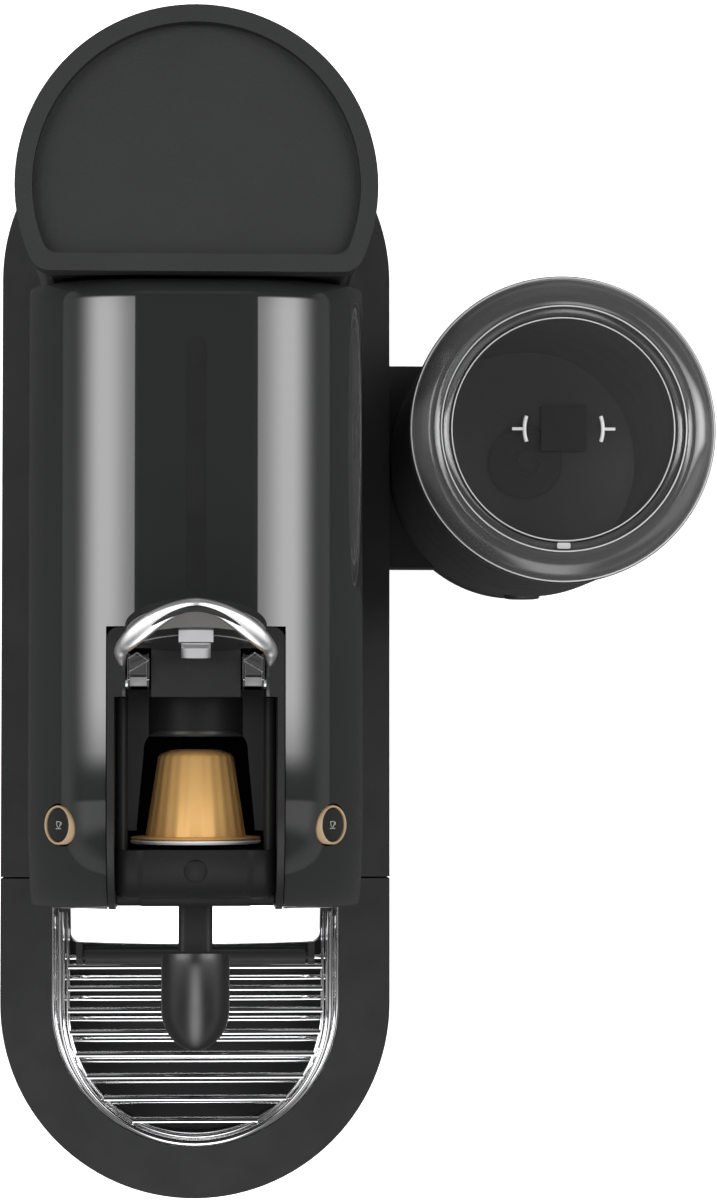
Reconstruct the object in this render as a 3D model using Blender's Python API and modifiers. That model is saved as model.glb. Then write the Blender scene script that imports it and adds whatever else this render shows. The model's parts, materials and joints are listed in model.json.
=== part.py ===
"""Pod coffee machine with a side milk frother, as separate pieces on their own joints.

Metres, +Z up. The front faces -Y and the frother stands on the +X side. The origin is the centre
of the footprint's box, on the surface that the feet stand on.
"""

import math

import bmesh
import bpy
from mathutils import Matrix, Vector

COLLECTION = "pod_coffee_machine"
GAP = 0.0003  # clearance between pieces that rest on each other
ARC = math.radians(12)  # one facet of a curve

# Base and drip drawer
BASE_R = 0.065
BASE_CENTRE = 0.1215  # distance of each end's arc centre from the machine's middle
BASE_TOP = 0.038
FOOT_H = 0.002
WALL = 0.0025
SEAM_Y = -0.0794
WELL_R = 0.0481
WELL_CENTRE = -0.1212
WELL_BACK = -0.0992
WELL_LEDGE = 0.0257
SLOT_COUNT = 9
SLOT_PITCH = 0.0069
SLOT_WIDTH = 0.0042

# Housing
SHELL_HALF = 0.0471
SHELL_FRONT = -0.0812
SHELL_REAR = 0.0938
SHELL_TOP = 0.262
SHELL_EDGE_R = 0.0339
SHELL_FRONT_R = 0.032
SHELL_REAR_R = 0.006
BIN_OPENING = 0.0397
BIN_OPENING_TOP = 0.1183

# Brew head
HEAD_HALF = 0.0243
HEAD_BACK = -0.0028
HEAD_STEP = -0.0218
TROUGH_HALF = 0.0224
TROUGH_FLOOR = 0.236
HEAD_FRONT = -0.0782
HEAD_BRIDGE = -0.0285
ARM_SLOT_IN = 0.0122
ARM_SLOT_OUT = 0.0198
BREW_Z = 0.224
POD_RIM_Y = -0.0619
POD_RIM_R = 0.0185
POD_LENGTH = 0.0285
POD_BIG_R = 0.0142
POD_SMALL_R = 0.0109
CAGE_R = 0.017
CAGE_MOUTH = -0.0326
TUNNEL_R = 0.0182

# Lever
LEVER_Y = -0.017
LEVER_Z = 0.240
LEVER_LEAN = math.radians(21.3)
HANDLE_R = 0.0198
HANDLE_TUBE = 0.002
HANDLE_CENTRE = 0.0358

# Buttons
BUTTON_X = 0.0379
BUTTON_Y = -0.057
BUTTON_R = 0.0039
RING_R = 0.0056

# Outlet
NECK_HALF = 0.005
NECK_Z = 0.190
HOOD_HALF = 0.010
HOOD_BACK = -0.0954
HOOD_TIP = -0.1246
HOOD_LOW = 0.174
HOOD_TOP = 0.200

# Cup support
HINGE_Y = -0.1014
HINGE_Z = 0.106
PIN_R = 0.0015
CUP_R = 0.0431
CUP_CENTRE = -0.1184
CUP_RIM = 0.0022

# Water tank
TANK_CENTRE = 0.1183
TANK_R = 0.0492
TANK_FLAT = 0.0946
TANK_LOW = 0.0416
TANK_TOP = 0.257
TANK_WALL = 0.0022
LID_R = 0.0497
LID_FLAT = 0.0943
LID_TOP = 0.2675

# Frother
JUG_X = 0.1098
JUG_Y = 0.0595
JUG_R = 0.0456
JUG_FOOT_R = 0.0444
JUG_LOW = 0.0206
JUG_TOP = 0.1684
POT_R = 0.0400
POT_LOW = 0.045
LID_RIM_R = 0.0462
LID_DOME = 0.178
ARM_LOW_Y = 0.0254
ARM_HIGH_Y = 0.0944
ARM_TOP = 0.020

# The machine's own middle plane, moved so that the whole footprint is centred on X
SHIFT_X = -(JUG_X + LID_RIM_R - BASE_R) / 2


def clear_scene():
    for obj in list(bpy.data.objects):
        bpy.data.objects.remove(obj, do_unlink=True)


def new_collection(name):
    collection = bpy.data.collections.new(name)
    bpy.context.scene.collection.children.link(collection)
    return collection


def material(name, colour, roughness, metallic=0.0, transmission=0.0):
    made = bpy.data.materials.new(name)
    made.use_nodes = True
    shader = made.node_tree.nodes["Principled BSDF"]
    shader.inputs["Base Color"].default_value = (*colour, 1.0)
    shader.inputs["Roughness"].default_value = roughness
    shader.inputs["Metallic"].default_value = metallic
    shader.inputs["Transmission Weight"].default_value = transmission
    made.diffuse_color = (*colour, 1.0)
    return made


# Outlines -------------------------------------------------------------------------------------


def arc(x, y, radius, start, end):
    """Points of an arc, from one angle to another in degrees."""
    span = math.radians(end - start)
    steps = max(2, round(abs(span) / ARC))
    angles = (math.radians(start) + span * i / steps for i in range(steps + 1))
    return [(x + radius * math.cos(a), y + radius * math.sin(a)) for a in angles]


def circle(x, y, radius):
    return arc(x, y, radius, 0, 360)[:-1]


def rectangle(x0, y0, x1, y1):
    return [(x0, y0), (x1, y0), (x1, y1), (x0, y1)]


def rounded(x0, y0, x1, y1, r):
    return (
        arc(x1 - r, y0 + r, r, -90, 0)
        + arc(x1 - r, y1 - r, r, 0, 90)
        + arc(x0 + r, y1 - r, r, 90, 180)
        + arc(x0 + r, y0 + r, r, 180, 270)
    )


def rear_d(radius, centre, front):
    """Straight sides from the front edge to a round rear end."""
    return [(-radius, front), (radius, front)] + arc(0, centre, radius, 0, 180)


def front_d(radius, centre, back):
    """Straight sides from the back edge to a round front end."""
    return [(radius, back), (-radius, back)] + arc(0, centre, radius, 180, 360)


def tank_outline(radius, flat, corner):
    """A circle cut by a flat front whose two corners are rounded."""
    rise = flat + corner - TANK_CENTRE
    across = math.sqrt((radius - corner) ** 2 - rise**2)
    lean = math.degrees(math.atan2(rise, across))
    return (
        arc(across, flat + corner, corner, -90, lean)
        + arc(0, TANK_CENTRE, radius, lean, 180 - lean)[1:-1]
        + arc(-across, flat + corner, corner, 180 - lean, 270)
    )


def tapered_bar(start, end, start_r, end_r):
    """The outline round two circles, for an arm with a hub at one end."""
    lean = math.degrees(math.atan2(end[1] - start[1], end[0] - start[0]))
    return arc(*start, start_r, lean + 90, lean + 270) + arc(*end, end_r, lean - 90, lean + 90)


def grid_slots(radius, centre, first, count):
    """Cross slots of a round-fronted grid, each as long as the outline lets it be."""
    slots = []
    for i in range(count):
        y = first - i * SLOT_PITCH
        low = y - SLOT_WIDTH / 2
        reach = radius if low > centre else math.sqrt(max(0, radius**2 - (low - centre) ** 2))
        if reach > 0.008:
            slots.append(rounded(-reach, low, reach, low + SLOT_WIDTH, SLOT_WIDTH * 0.45))
    return slots


# Solids ---------------------------------------------------------------------------------------

PLAN = Matrix.Identity(4)  # outline in X and Y, thickness along Z
SIDE = Matrix(((0, 0, 1, 0), (1, 0, 0, 0), (0, 1, 0, 0), (0, 0, 0, 1)))  # Y and Z, along X
FRONT = Matrix(((1, 0, 0, 0), (0, 0, -1, 0), (0, 1, 0, 0), (0, 0, 0, 1)))  # X and Z, along -Y


def mesh_from_curve(name, curve):
    """The curve's solid as a welded mesh."""
    guide = bpy.data.objects.new(name + "_guide", curve)
    bpy.context.scene.collection.objects.link(guide)
    graph = bpy.context.evaluated_depsgraph_get()
    mesh = bpy.data.meshes.new_from_object(guide.evaluated_get(graph))
    bpy.data.objects.remove(guide, do_unlink=True)
    bpy.data.curves.remove(curve)
    shape = bmesh.new()
    shape.from_mesh(mesh)
    bmesh.ops.remove_doubles(shape, verts=shape.verts, dist=1e-6)
    bmesh.ops.recalc_face_normals(shape, faces=shape.faces)
    shape.to_mesh(mesh)
    shape.free()
    return mesh


def plate(name, loops, low, high, frame=PLAN):
    """A flat outline with its holes, from low to high along the frame's third axis."""
    curve = bpy.data.curves.new(name, "CURVE")
    curve.dimensions = "2D"
    curve.fill_mode = "BOTH"
    curve.extrude = (high - low) / 2
    for loop in loops:
        spline = curve.splines.new("POLY")
        spline.points.add(len(loop) - 1)
        for point, (u, v) in zip(spline.points, loop):
            point.co = (u, v, 0, 1)
        spline.use_cyclic_u = True
    mesh = mesh_from_curve(name, curve)
    mesh.transform(frame @ Matrix.Translation((0, 0, (low + high) / 2)))
    return mesh


def tube(name, points, radius, resolution=2):
    """A round bar along a line of points."""
    curve = bpy.data.curves.new(name, "CURVE")
    curve.dimensions = "3D"
    curve.bevel_depth = radius
    curve.bevel_resolution = resolution
    curve.use_fill_caps = True
    spline = curve.splines.new("POLY")
    spline.points.add(len(points) - 1)
    for target, point in zip(spline.points, points):
        target.co = (*point, 1)
    return mesh_from_curve(name, curve)


def box(name, low, high):
    shape = bmesh.new()
    bmesh.ops.create_cube(shape, size=1)
    size = Vector(high) - Vector(low)
    middle = (Vector(high) + Vector(low)) / 2
    bmesh.ops.transform(
        shape, verts=shape.verts, matrix=Matrix.Translation(middle) @ Matrix.Diagonal((*size, 1))
    )
    mesh = bpy.data.meshes.new(name)
    shape.to_mesh(mesh)
    shape.free()
    return mesh


def cylinder(name, start, end, radius, segments=24):
    """A round solid between two points."""
    start, end = Vector(start), Vector(end)
    along = end - start
    turn = along.to_track_quat("Z", "Y").to_matrix().to_4x4()
    shape = bmesh.new()
    bmesh.ops.create_cone(
        shape,
        cap_ends=True,
        segments=segments,
        radius1=radius,
        radius2=radius,
        depth=along.length,
        matrix=Matrix.Translation((start + end) / 2) @ turn,
    )
    mesh = bpy.data.meshes.new(name)
    shape.to_mesh(mesh)
    shape.free()
    return mesh


def profile(name, points, closed):
    """A turned piece's profile in X and Z, which a Screw modifier turns round Z."""
    shape = bmesh.new()
    rail = [shape.verts.new((r, 0, z)) for r, z in points]
    for a, b in zip(rail, rail[1:]):
        shape.edges.new((a, b))
    if closed:
        shape.edges.new((rail[-1], rail[0]))
    mesh = bpy.data.meshes.new(name)
    shape.to_mesh(mesh)
    shape.free()
    return mesh


# Objects --------------------------------------------------------------------------------------

clear_scene()
PARTS = new_collection(COLLECTION)
CUTTERS = new_collection("cutters")
CUTTERS.hide_render = True

BLACK_GLOSS = material("gloss_black_plastic", (0.012, 0.012, 0.013), 0.12)
BLACK_SATIN = material("satin_black_plastic", (0.022, 0.023, 0.023), 0.42)
BLACK_MATTE = material("matte_black_plastic", (0.018, 0.018, 0.018), 0.55)
CHROME = material("chrome", (0.82, 0.82, 0.83), 0.06, metallic=1.0)
STEEL = material("steel", (0.55, 0.56, 0.58), 0.3, metallic=1.0)
BRASS_LIGHT = material("light_ring", (0.75, 0.55, 0.30), 0.4)
SMOKE = material("smoked_clear_plastic", (0.10, 0.10, 0.11), 0.08, transmission=0.9)
CLEAR = material("clear_plastic", (0.85, 0.86, 0.88), 0.05, transmission=1.0)
RUBBER = material("rubber", (0.03, 0.03, 0.03), 0.8)
SILICONE = material("silicone", (0.75, 0.74, 0.70), 0.6)
BOARD = material("circuit_board", (0.03, 0.16, 0.07), 0.5)
GOLD = material("gold_aluminium", (0.86, 0.55, 0.20), 0.3, metallic=1.0)
FOIL = material("aluminium_foil", (0.80, 0.80, 0.80), 0.3, metallic=1.0)


def body(name, location=(0, 0, 0), parent=None):
    """The empty that one moving group of pieces is parented to, on its joint's axis."""
    empty = bpy.data.objects.new(name, None)
    empty.location = location
    empty.parent = parent
    if parent:
        empty.matrix_parent_inverse = Matrix.Translation(-parent.location).to_4x4()
    empty.empty_display_size = 0.02
    PARTS.objects.link(empty)
    return empty


MACHINE = body("machine", (SHIFT_X, 0, 0))


def moving(name, location, parent=MACHINE):
    empty = body(name, location, parent)
    if parent is MACHINE:
        empty.matrix_parent_inverse = Matrix.Identity(4)
    return empty


DRAWER = moving("drip_drawer_body", (0, BASE_CENTRE * -1, BASE_TOP))
CUP_SUPPORT = moving("cup_support_body", (0, HINGE_Y, HINGE_Z), DRAWER)
TANK = moving("tank_group_body", (0, TANK_CENTRE, TANK_LOW))
TANK_LID = moving("tank_lid_body", (0, TANK_CENTRE, TANK_TOP), TANK)
LEVER = moving("lever_body", (0, LEVER_Y, LEVER_Z))
CAGE = moving("cage_body", (0, CAGE_MOUTH, BREW_Z))
JUG = moving("jug_group_body", (JUG_X, JUG_Y, JUG_LOW))
JUG_LID = moving("jug_lid_body", (JUG_X, JUG_Y, JUG_TOP), JUG)
WHISK = moving("whisk_body", (JUG_X, JUG_Y, POT_LOW), JUG)


def place(name, mesh, group, parent, location, rotation):
    obj = bpy.data.objects.new(name, mesh)
    obj.parent = parent
    if parent is not MACHINE:
        obj.matrix_parent_inverse = Matrix.Translation(-parent.location)
    obj.location = location
    obj.rotation_euler = rotation
    group.objects.link(obj)
    return obj


def piece(name, mesh, finish, parent=MACHINE, location=(0, 0, 0), rotation=(0, 0, 0)):
    obj = place(name, mesh, PARTS, parent, location, rotation)
    mesh.materials.clear()
    mesh.materials.append(finish)
    if mesh.polygons:
        mesh.shade_smooth()
        mesh.set_sharp_from_angle(angle=math.radians(30))
    return obj


def cutter(name, mesh, parent=MACHINE, location=(0, 0, 0), rotation=(0, 0, 0)):
    obj = place(name, mesh, CUTTERS, parent, location, rotation)
    obj.hide_render = True
    obj.display_type = "WIRE"
    return obj


def boolean(obj, tool, operation):
    modifier = obj.modifiers.new(tool.name, "BOOLEAN")
    modifier.operation = operation
    modifier.solver = "EXACT"
    modifier.object = tool


def cut(obj, *meshes, parent=MACHINE, location=(0, 0, 0), rotation=(0, 0, 0)):
    for mesh in meshes:
        tool = cutter(f"{obj.name}_{mesh.name}", mesh, parent, location, rotation)
        boolean(obj, tool, "DIFFERENCE")


def join(obj, *meshes, parent=MACHINE):
    for mesh in meshes:
        boolean(obj, cutter(f"{obj.name}_{mesh.name}", mesh, parent), "UNION")


def turn(obj, segments=48):
    """Screws an object's profile once round its own Z axis."""
    screw = obj.modifiers.new("turn", "SCREW")
    screw.steps = segments
    screw.render_steps = segments
    screw.use_merge_vertices = True
    screw.merge_threshold = 1e-5
    screw.use_smooth_shade = True


def turned(name, points, finish, parent, location, closed=True, segments=48, rotation=(0, 0, 0)):
    obj = piece(name, profile(name, points, closed), finish, parent, location, rotation)
    turn(obj, segments)
    return obj


FACING_FRONT = (math.radians(90), 0, 0)  # a turned piece's own +Z points at -Y


# Base, rear part and what stands in it ----------------------------------------------------------


def make_rear_base():
    front = SEAM_Y + GAP
    inner = BASE_R - WALL
    base = piece(
        "rear_base",
        plate("rear_base", [rear_d(BASE_R, BASE_CENTRE, front)], FOOT_H + GAP, BASE_TOP),
        BLACK_SATIN,
    )
    hollow = rear_d(inner, BASE_CENTRE, front + WALL)
    cut(
        base,
        plate("hollow", [hollow], 0, BASE_TOP - WALL),
        cylinder("seat_hole", (0, TANK_CENTRE, 0.03), (0, TANK_CENTRE, 0.05), 0.0053, 16),
        cylinder("hose_hole", (0, 0.082, 0.03), (0, 0.082, 0.05), 0.0043, 16),
        cylinder("cord_hole", (0, 0.18, 0.014), (0, 0.19, 0.014), 0.0053, 16),
    )
    cover = rear_d(inner - GAP, BASE_CENTRE, front + WALL + GAP)
    piece(
        "bottom_plate",
        plate("bottom_plate", [cover], FOOT_H + GAP, FOOT_H + GAP + 0.002),
        BLACK_SATIN,
    )


def make_foot(name, x, y, parent=MACHINE, radius=0.007):
    piece(name, cylinder(name, (x, y, 0), (x, y, FOOT_H), radius, 20), RUBBER, parent)


def make_feet():
    for end, y in (("rear", 0.135), ("middle", -0.055)):
        for side, x in (("left", -0.045), ("right", 0.045)):
            make_foot(f"{end}_foot_{side}", x, y)
    make_foot("frother_foot", JUG_X, JUG_Y, radius=0.016)


def make_tank_seat():
    low = BASE_TOP + GAP
    seat = [(0.013, 0.0413), (0.013, low), (0.0050, low), (0.0050, 0.020), (0.0032, 0.020)]
    seat += [(0.0032, 0.0404), (0.0096, 0.0404), (0.0096, 0.0413)]
    turned("tank_seat", seat, BLACK_SATIN, MACHINE, (0, TANK_CENTRE, 0), segments=24)
    seal = [(0.0092, 0.0412), (0.0092, 0.0407), (0.0074, 0.0407), (0.0074, 0.0412)]
    turned("tank_seat_seal", seal, RUBBER, MACHINE, (0, TANK_CENTRE, 0), segments=24)


def make_cord_gland():
    ring = [(0.0050, 0.0), (0.0050, -0.0036), (0.0031, -0.0036), (0.0031, 0.0)]
    rear = BASE_CENTRE + BASE_R - 0.0003
    turned("cord_gland", ring, RUBBER, MACHINE, (0, rear, 0.014), segments=16,
           rotation=(math.radians(-90), 0, 0))


# Housing and brew head --------------------------------------------------------------------------


def housing_section(half, top, corner, low):
    """The housing seen from the front: upright sides under a rounded top."""
    flat = half - corner
    return (
        [(-half, low), (half, low)]
        + arc(flat, top - corner, corner, 0, 90)
        + arc(-flat, top - corner, corner, 90, 180)
    )


def housing_side(inset, low):
    """The housing seen from the side: rounded at the top front and the top rear."""
    front = SHELL_FRONT + inset
    rear = SHELL_REAR - inset
    top = SHELL_TOP - inset
    front_r = SHELL_FRONT_R - inset
    rear_r = SHELL_REAR_R - inset
    return (
        [(front, low), (rear, low)]
        + arc(rear - rear_r, top - rear_r, rear_r, 0, 90)
        + arc(front + front_r, top - front_r, front_r, 90, 180)
    )


def housing_solid(name, inset, low):
    """A cutter of the housing's outer form, drawn in by a wall's thickness."""
    section = housing_section(SHELL_HALF - inset, SHELL_TOP - inset, SHELL_EDGE_R - inset, low)
    solid = cutter(name, plate(name, [section], -0.1, 0.1, FRONT))
    side = cutter(name + "_side", plate(name + "_side", [housing_side(inset, low)], -0.06, 0.06, SIDE))
    boolean(solid, side, "INTERSECT")
    return solid


def button_frame(side):
    """A matrix whose +Z is the way that a button faces, at the middle of its cap."""
    out = Vector((0.733 * side, 0, 0.680)).normalized()
    middle = Vector(((SHELL_HALF - SHELL_EDGE_R) * side, BUTTON_Y, SHELL_TOP - SHELL_EDGE_R))
    turn_to = out.to_track_quat("Z", "Y").to_matrix().to_4x4()
    return Matrix.Translation(middle + out * SHELL_EDGE_R) @ turn_to


def make_shell():
    low = BASE_TOP + GAP
    section = housing_section(SHELL_HALF, SHELL_TOP, SHELL_EDGE_R, low)
    shell = piece("shell", plate("shell", [section], -0.1, 0.1, FRONT), BLACK_GLOSS)
    side = cutter("shell_side", plate("shell_side", [housing_side(0, low)], -0.06, 0.06, SIDE))
    boolean(shell, side, "INTERSECT")
    boolean(shell, housing_solid("shell_hollow", WALL, 0.02), "DIFFERENCE")
    half = HEAD_HALF + GAP
    cut(
        shell,
        box("head_slot", (-half, -0.1, 0.1), (half, HEAD_BACK + GAP, 0.28)),
        box("bin_slot", (-BIN_OPENING, -0.1, 0.03), (BIN_OPENING, -0.06, BIN_OPENING_TOP)),
    )
    for name, side in (("left", -1), ("right", 1)):
        hole = cylinder(f"button_hole_{name}", (0, 0, -0.01), (0, 0, 0.01), RING_R + GAP)
        hole.transform(button_frame(side))
        cut(shell, hole)


def make_head_cover():
    half = HEAD_HALF
    low = BIN_OPENING_TOP + GAP
    cover = piece(
        "head_cover",
        box("head_cover", (-half, SHELL_FRONT - 0.01, low), (half, HEAD_BACK, 0.27)),
        BLACK_MATTE,
    )
    boolean(cover, housing_solid("head_limit", 0.0, 0.09), "INTERSECT")
    slot = TROUGH_HALF - 0.0005
    nose = [(-0.0642, 0.28), (-0.0642, 0.246)]
    nose += arc(-0.0642, 0.232, -0.0642 - HEAD_FRONT, 90, 180)
    nose += [(HEAD_FRONT, 0.121), (-0.1, 0.121), (-0.1, 0.28)]
    cut(
        cover,
        plate("nose", [nose], -TROUGH_HALF, TROUGH_HALF, SIDE),
        box("trough", (-TROUGH_HALF, -0.0643, TROUGH_FLOOR), (TROUGH_HALF, HEAD_BRIDGE, 0.28)),
        box("band", (-TROUGH_HALF, HEAD_BRIDGE - 0.001, 0.2455), (TROUGH_HALF, HEAD_STEP, 0.28)),
        box("inside", (-slot, -0.0755, 0.1), (slot, 0.01, 0.233)),
        box("behind", (-slot, -0.0195, 0.22), (slot, 0.01, 0.246)),
        box("roof", (-slot, -0.0195, 0.24), (slot, -0.0055, 0.259)),
        cylinder("tunnel", (0, -0.0755, BREW_Z), (0, 0.01, BREW_Z), TUNNEL_R, 32),
        box("arch", (-0.0165, -0.0605, 0.22), (0.0165, HEAD_BRIDGE, 0.26)),
        box("rim_slot", (-0.020, -0.0642, 0.22), (0.020, -0.0589, 0.26)),
        box("neck_hole", (-0.0053, -0.09, NECK_Z - 0.0053), (0.0053, -0.07, NECK_Z + 0.0053)),
    )
    for side in (-1, 1):
        inner, outer = sorted((ARM_SLOT_IN * side, slot * side))
        inner_roof, outer_roof = sorted((ARM_SLOT_IN * side, ARM_SLOT_OUT * side))
        cut(
            cover,
            box("pivot_room", (inner, -0.0290, TROUGH_FLOOR), (outer, -0.0055, 0.259)),
            box("pivot_well", (inner, -0.0225, 0.22), (outer, -0.0055, 0.25)),
            box("arm_slot", (inner_roof, -0.0225, 0.23), (outer_roof, -0.0115, 0.28)),
        )


def make_brew_frame():
    outer = rectangle(-0.0216, -0.072, 0.0216, 0.0145)
    inner = rectangle(-0.0196, -0.0695, 0.0196, 0.012)
    frame = piece("brew_frame", plate("brew_frame", [outer, inner], 0.196, 0.2325), STEEL)
    for name, side in (("left", -1), ("right", 1)):
        low, high = sorted((0.0196 * side, 0.0216 * side))
        join(frame, box(f"ear_{name}", (low, -0.0215, 0.230), (high, -0.0125, 0.2455)))
    hole = cylinder("pivot_hole", (-0.03, LEVER_Y, LEVER_Z), (0.03, LEVER_Y, LEVER_Z), 0.0027, 16)
    cut(frame, hole)
    piece(
        "extraction_plate",
        cylinder("extraction_plate", (0, -0.0675, BREW_Z), (0, -0.0645, BREW_Z), 0.0175, 32),
        STEEL,
    )


def make_outlet():
    neck = rounded(-NECK_HALF, NECK_Z - NECK_HALF, NECK_HALF, NECK_Z + NECK_HALF, 0.002)
    bore = circle(0, NECK_Z, 0.003)
    neck_mesh = plate("outlet_neck", [neck, bore], 0.0696 + GAP, -HOOD_BACK - GAP, FRONT)
    piece("outlet_neck", neck_mesh, BLACK_SATIN)
    radius = HOOD_HALF
    outline = [(radius, HOOD_BACK), (-radius, HOOD_BACK)] + arc(0, HOOD_TIP + radius, radius, 180, 360)
    hood = piece("outlet_hood", plate("outlet_hood", [outline], HOOD_LOW, HOOD_TOP), BLACK_SATIN)
    inner = radius - 0.0018
    back = HOOD_BACK - 0.002
    pocket = [(inner, back), (-inner, back)]
    pocket += arc(0, HOOD_TIP + radius, inner, 180, 360)
    cut(
        hood,
        plate("pocket", [pocket], HOOD_LOW - 0.01, HOOD_TOP - 0.0125),
        box("chamber", (-0.004, -0.108, 0.18), (0.004, back, 0.194)),
        cylinder("inlet", (0, -0.09, NECK_Z), (0, -0.1, NECK_Z), 0.003, 16),
    )
    ramp = [(HOOD_BACK - 0.006, HOOD_TOP + 0.001), (HOOD_TIP - 0.005, HOOD_TOP + 0.001)]
    ramp += [(HOOD_TIP - 0.005, 0.1875)]
    cut(hood, plate("ramp", [ramp], -0.02, 0.02, SIDE))


def make_buttons():
    for name, side in (("left", -1), ("right", 1)):
        frame = button_frame(side)
        ring = plate(f"button_ring_{name}", [circle(0, 0, RING_R), circle(0, 0, 0.0043)], -0.006, 0.0004)
        ring.transform(frame)
        piece(f"button_ring_{name}", ring, BRASS_LIGHT)
        cap = plate(f"button_{name}", [circle(0, 0, BUTTON_R)], -0.0050, 0.0007)
        middle = frame.to_translation()
        cap.transform(frame)
        cap.transform(Matrix.Translation(-middle))
        group = moving(f"button_{name}_body", middle)
        button = piece(f"button_{name}", cap, BLACK_SATIN, group)
        button.location = middle


def make_pod():
    rim = 0.0008
    small = POD_LENGTH
    wall = 0.0008
    cup = [(POD_SMALL_R * 0.55, -small), (POD_SMALL_R, -small + 0.0045), (POD_BIG_R, -rim)]
    cup = [(0, -small)] + cup + [(POD_RIM_R, -rim), (POD_RIM_R, 0), (POD_BIG_R - wall, 0)]
    cup += [(POD_SMALL_R - wall, -small + 0.0050), (POD_SMALL_R * 0.5, -small + wall)]
    cup += [(0, -small + wall)]
    turned("pod_cup", cup[::-1], GOLD, MACHINE, (0, POD_RIM_Y + 0.0003, BREW_Z), closed=False,
           segments=36, rotation=FACING_FRONT)
    piece(
        "pod_foil",
        cylinder("pod_foil", (0, POD_RIM_Y - 0.0006, BREW_Z), (0, POD_RIM_Y, BREW_Z), 0.0176, 36),
        FOIL,
    )


# What the housing hides -------------------------------------------------------------------------


def make_inside():
    low = BASE_TOP + GAP
    shape = [(-0.018, low), (0.090, low), (0.090, 0.190), (0.087, 0.190), (0.087, 0.113)]
    shape += [(0.018, 0.113), (0.018, 0.110), (0.087, 0.110), (0.087, 0.041), (-0.018, 0.041)]
    chassis = piece("chassis", plate("chassis", [shape], -0.038, 0.038, SIDE), BLACK_SATIN)
    cut(chassis, cylinder("hose_hole", (0, 0.082, 0.03), (0, 0.082, 0.05), 0.0043, 16))
    pump = [(0, 0.030), (0.018, 0.030), (0.018, -0.022), (0.008, -0.022), (0.008, -0.030)]
    pump += [(0.0045, -0.030), (0.0045, -0.034), (0, -0.034)]
    turned("pump", pump, STEEL, MACHINE, (0, 0.040, 0.065), closed=False, segments=24,
           rotation=FACING_FRONT)
    heater = piece("heater", box("heater", (-0.025, 0.028, 0.1133), (0.025, 0.078, 0.175)), STEEL)
    bevel = heater.modifiers.new("edges", "BEVEL")
    bevel.width = 0.005
    bevel.segments = 3
    piece("control_board", box("control_board", (-0.0422, -0.01, 0.120), (-0.0406, 0.07, 0.215)), BOARD)


def bend(points, corner, steps=4):
    """A line of points with each inner corner turned into a curve."""
    smooth = [Vector(points[0])]
    for before, at, after in zip(points, points[1:], points[2:]):
        at = Vector(at)
        into = at + (Vector(before) - at).normalized() * corner
        out = at + (Vector(after) - at).normalized() * corner
        for i in range(steps + 1):
            t = i / steps
            smooth.append(into * (1 - t) ** 2 + at * 2 * t * (1 - t) + out * t**2)
    smooth.append(Vector(points[-1]))
    return smooth


def make_hoses():
    radius = 0.0028
    suction = [(0, 0.1183, 0.0196), (0, 0.1183, 0.012), (0, 0.082, 0.012), (0, 0.082, 0.065)]
    suction += [(0, 0.0745, 0.065)]
    pressure = [(0, 0.0096, 0.065), (0, 0.004, 0.065), (0, 0.004, 0.128), (0, 0.0276, 0.128)]
    hot = [(0, 0.0276, 0.160), (0, 0.020, 0.160), (0, 0.020, BREW_Z), (0, 0.0149, BREW_Z)]
    for name, route, corner in (
        ("hose_suction", suction, 0.007),
        ("hose_pressure", pressure, 0.0055),
        ("hose_hot", hot, 0.005),
    ):
        piece(name, tube(name, bend(route, corner), radius), SILICONE)


# Drip drawer ------------------------------------------------------------------------------------


def make_drip_tray():
    outer = front_d(BASE_R, -BASE_CENTRE, SEAM_Y - GAP)
    tray = piece("drip_tray", plate("drip_tray", [outer], FOOT_H + GAP, BASE_TOP), BLACK_SATIN, DRAWER)
    ledge = WELL_R - 0.0025
    cut(
        tray,
        plate("well", [front_d(WELL_R, WELL_CENTRE, WELL_BACK)], WELL_LEDGE, 0.05),
        plate("sump", [front_d(ledge, WELL_CENTRE, WELL_BACK - 0.002)], 0.006, 0.03),
    )
    for name, x in (("left", -0.028), ("right", 0.028)):
        make_foot(f"drawer_foot_{name}", x, -0.125, DRAWER)
    back = WELL_BACK - 0.0006
    inner_back = back + 0.001
    radius = WELL_R - GAP
    centre = WELL_CENTRE
    trim = [(radius, back), (radius - 0.0011, back)]
    trim += arc(0, centre, radius - 0.0011, 360, 180) + [(-radius + 0.0011, back), (-radius, back)]
    trim += arc(0, centre, radius, 180, 360)
    piece(
        "drip_trim",
        plate("drip_trim", [trim], WELL_LEDGE + 0.0031, BASE_TOP + 0.001),
        CHROME,
        DRAWER,
    )
    grid_r = WELL_R - GAP
    slots = grid_slots(grid_r - 0.0028, centre, inner_back - 0.0088, SLOT_COUNT)
    grid = [front_d(grid_r, centre, back)] + slots
    low = WELL_LEDGE + GAP
    piece("lower_grid", plate("lower_grid", grid, low, low + 0.0024), CHROME, DRAWER)


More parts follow.
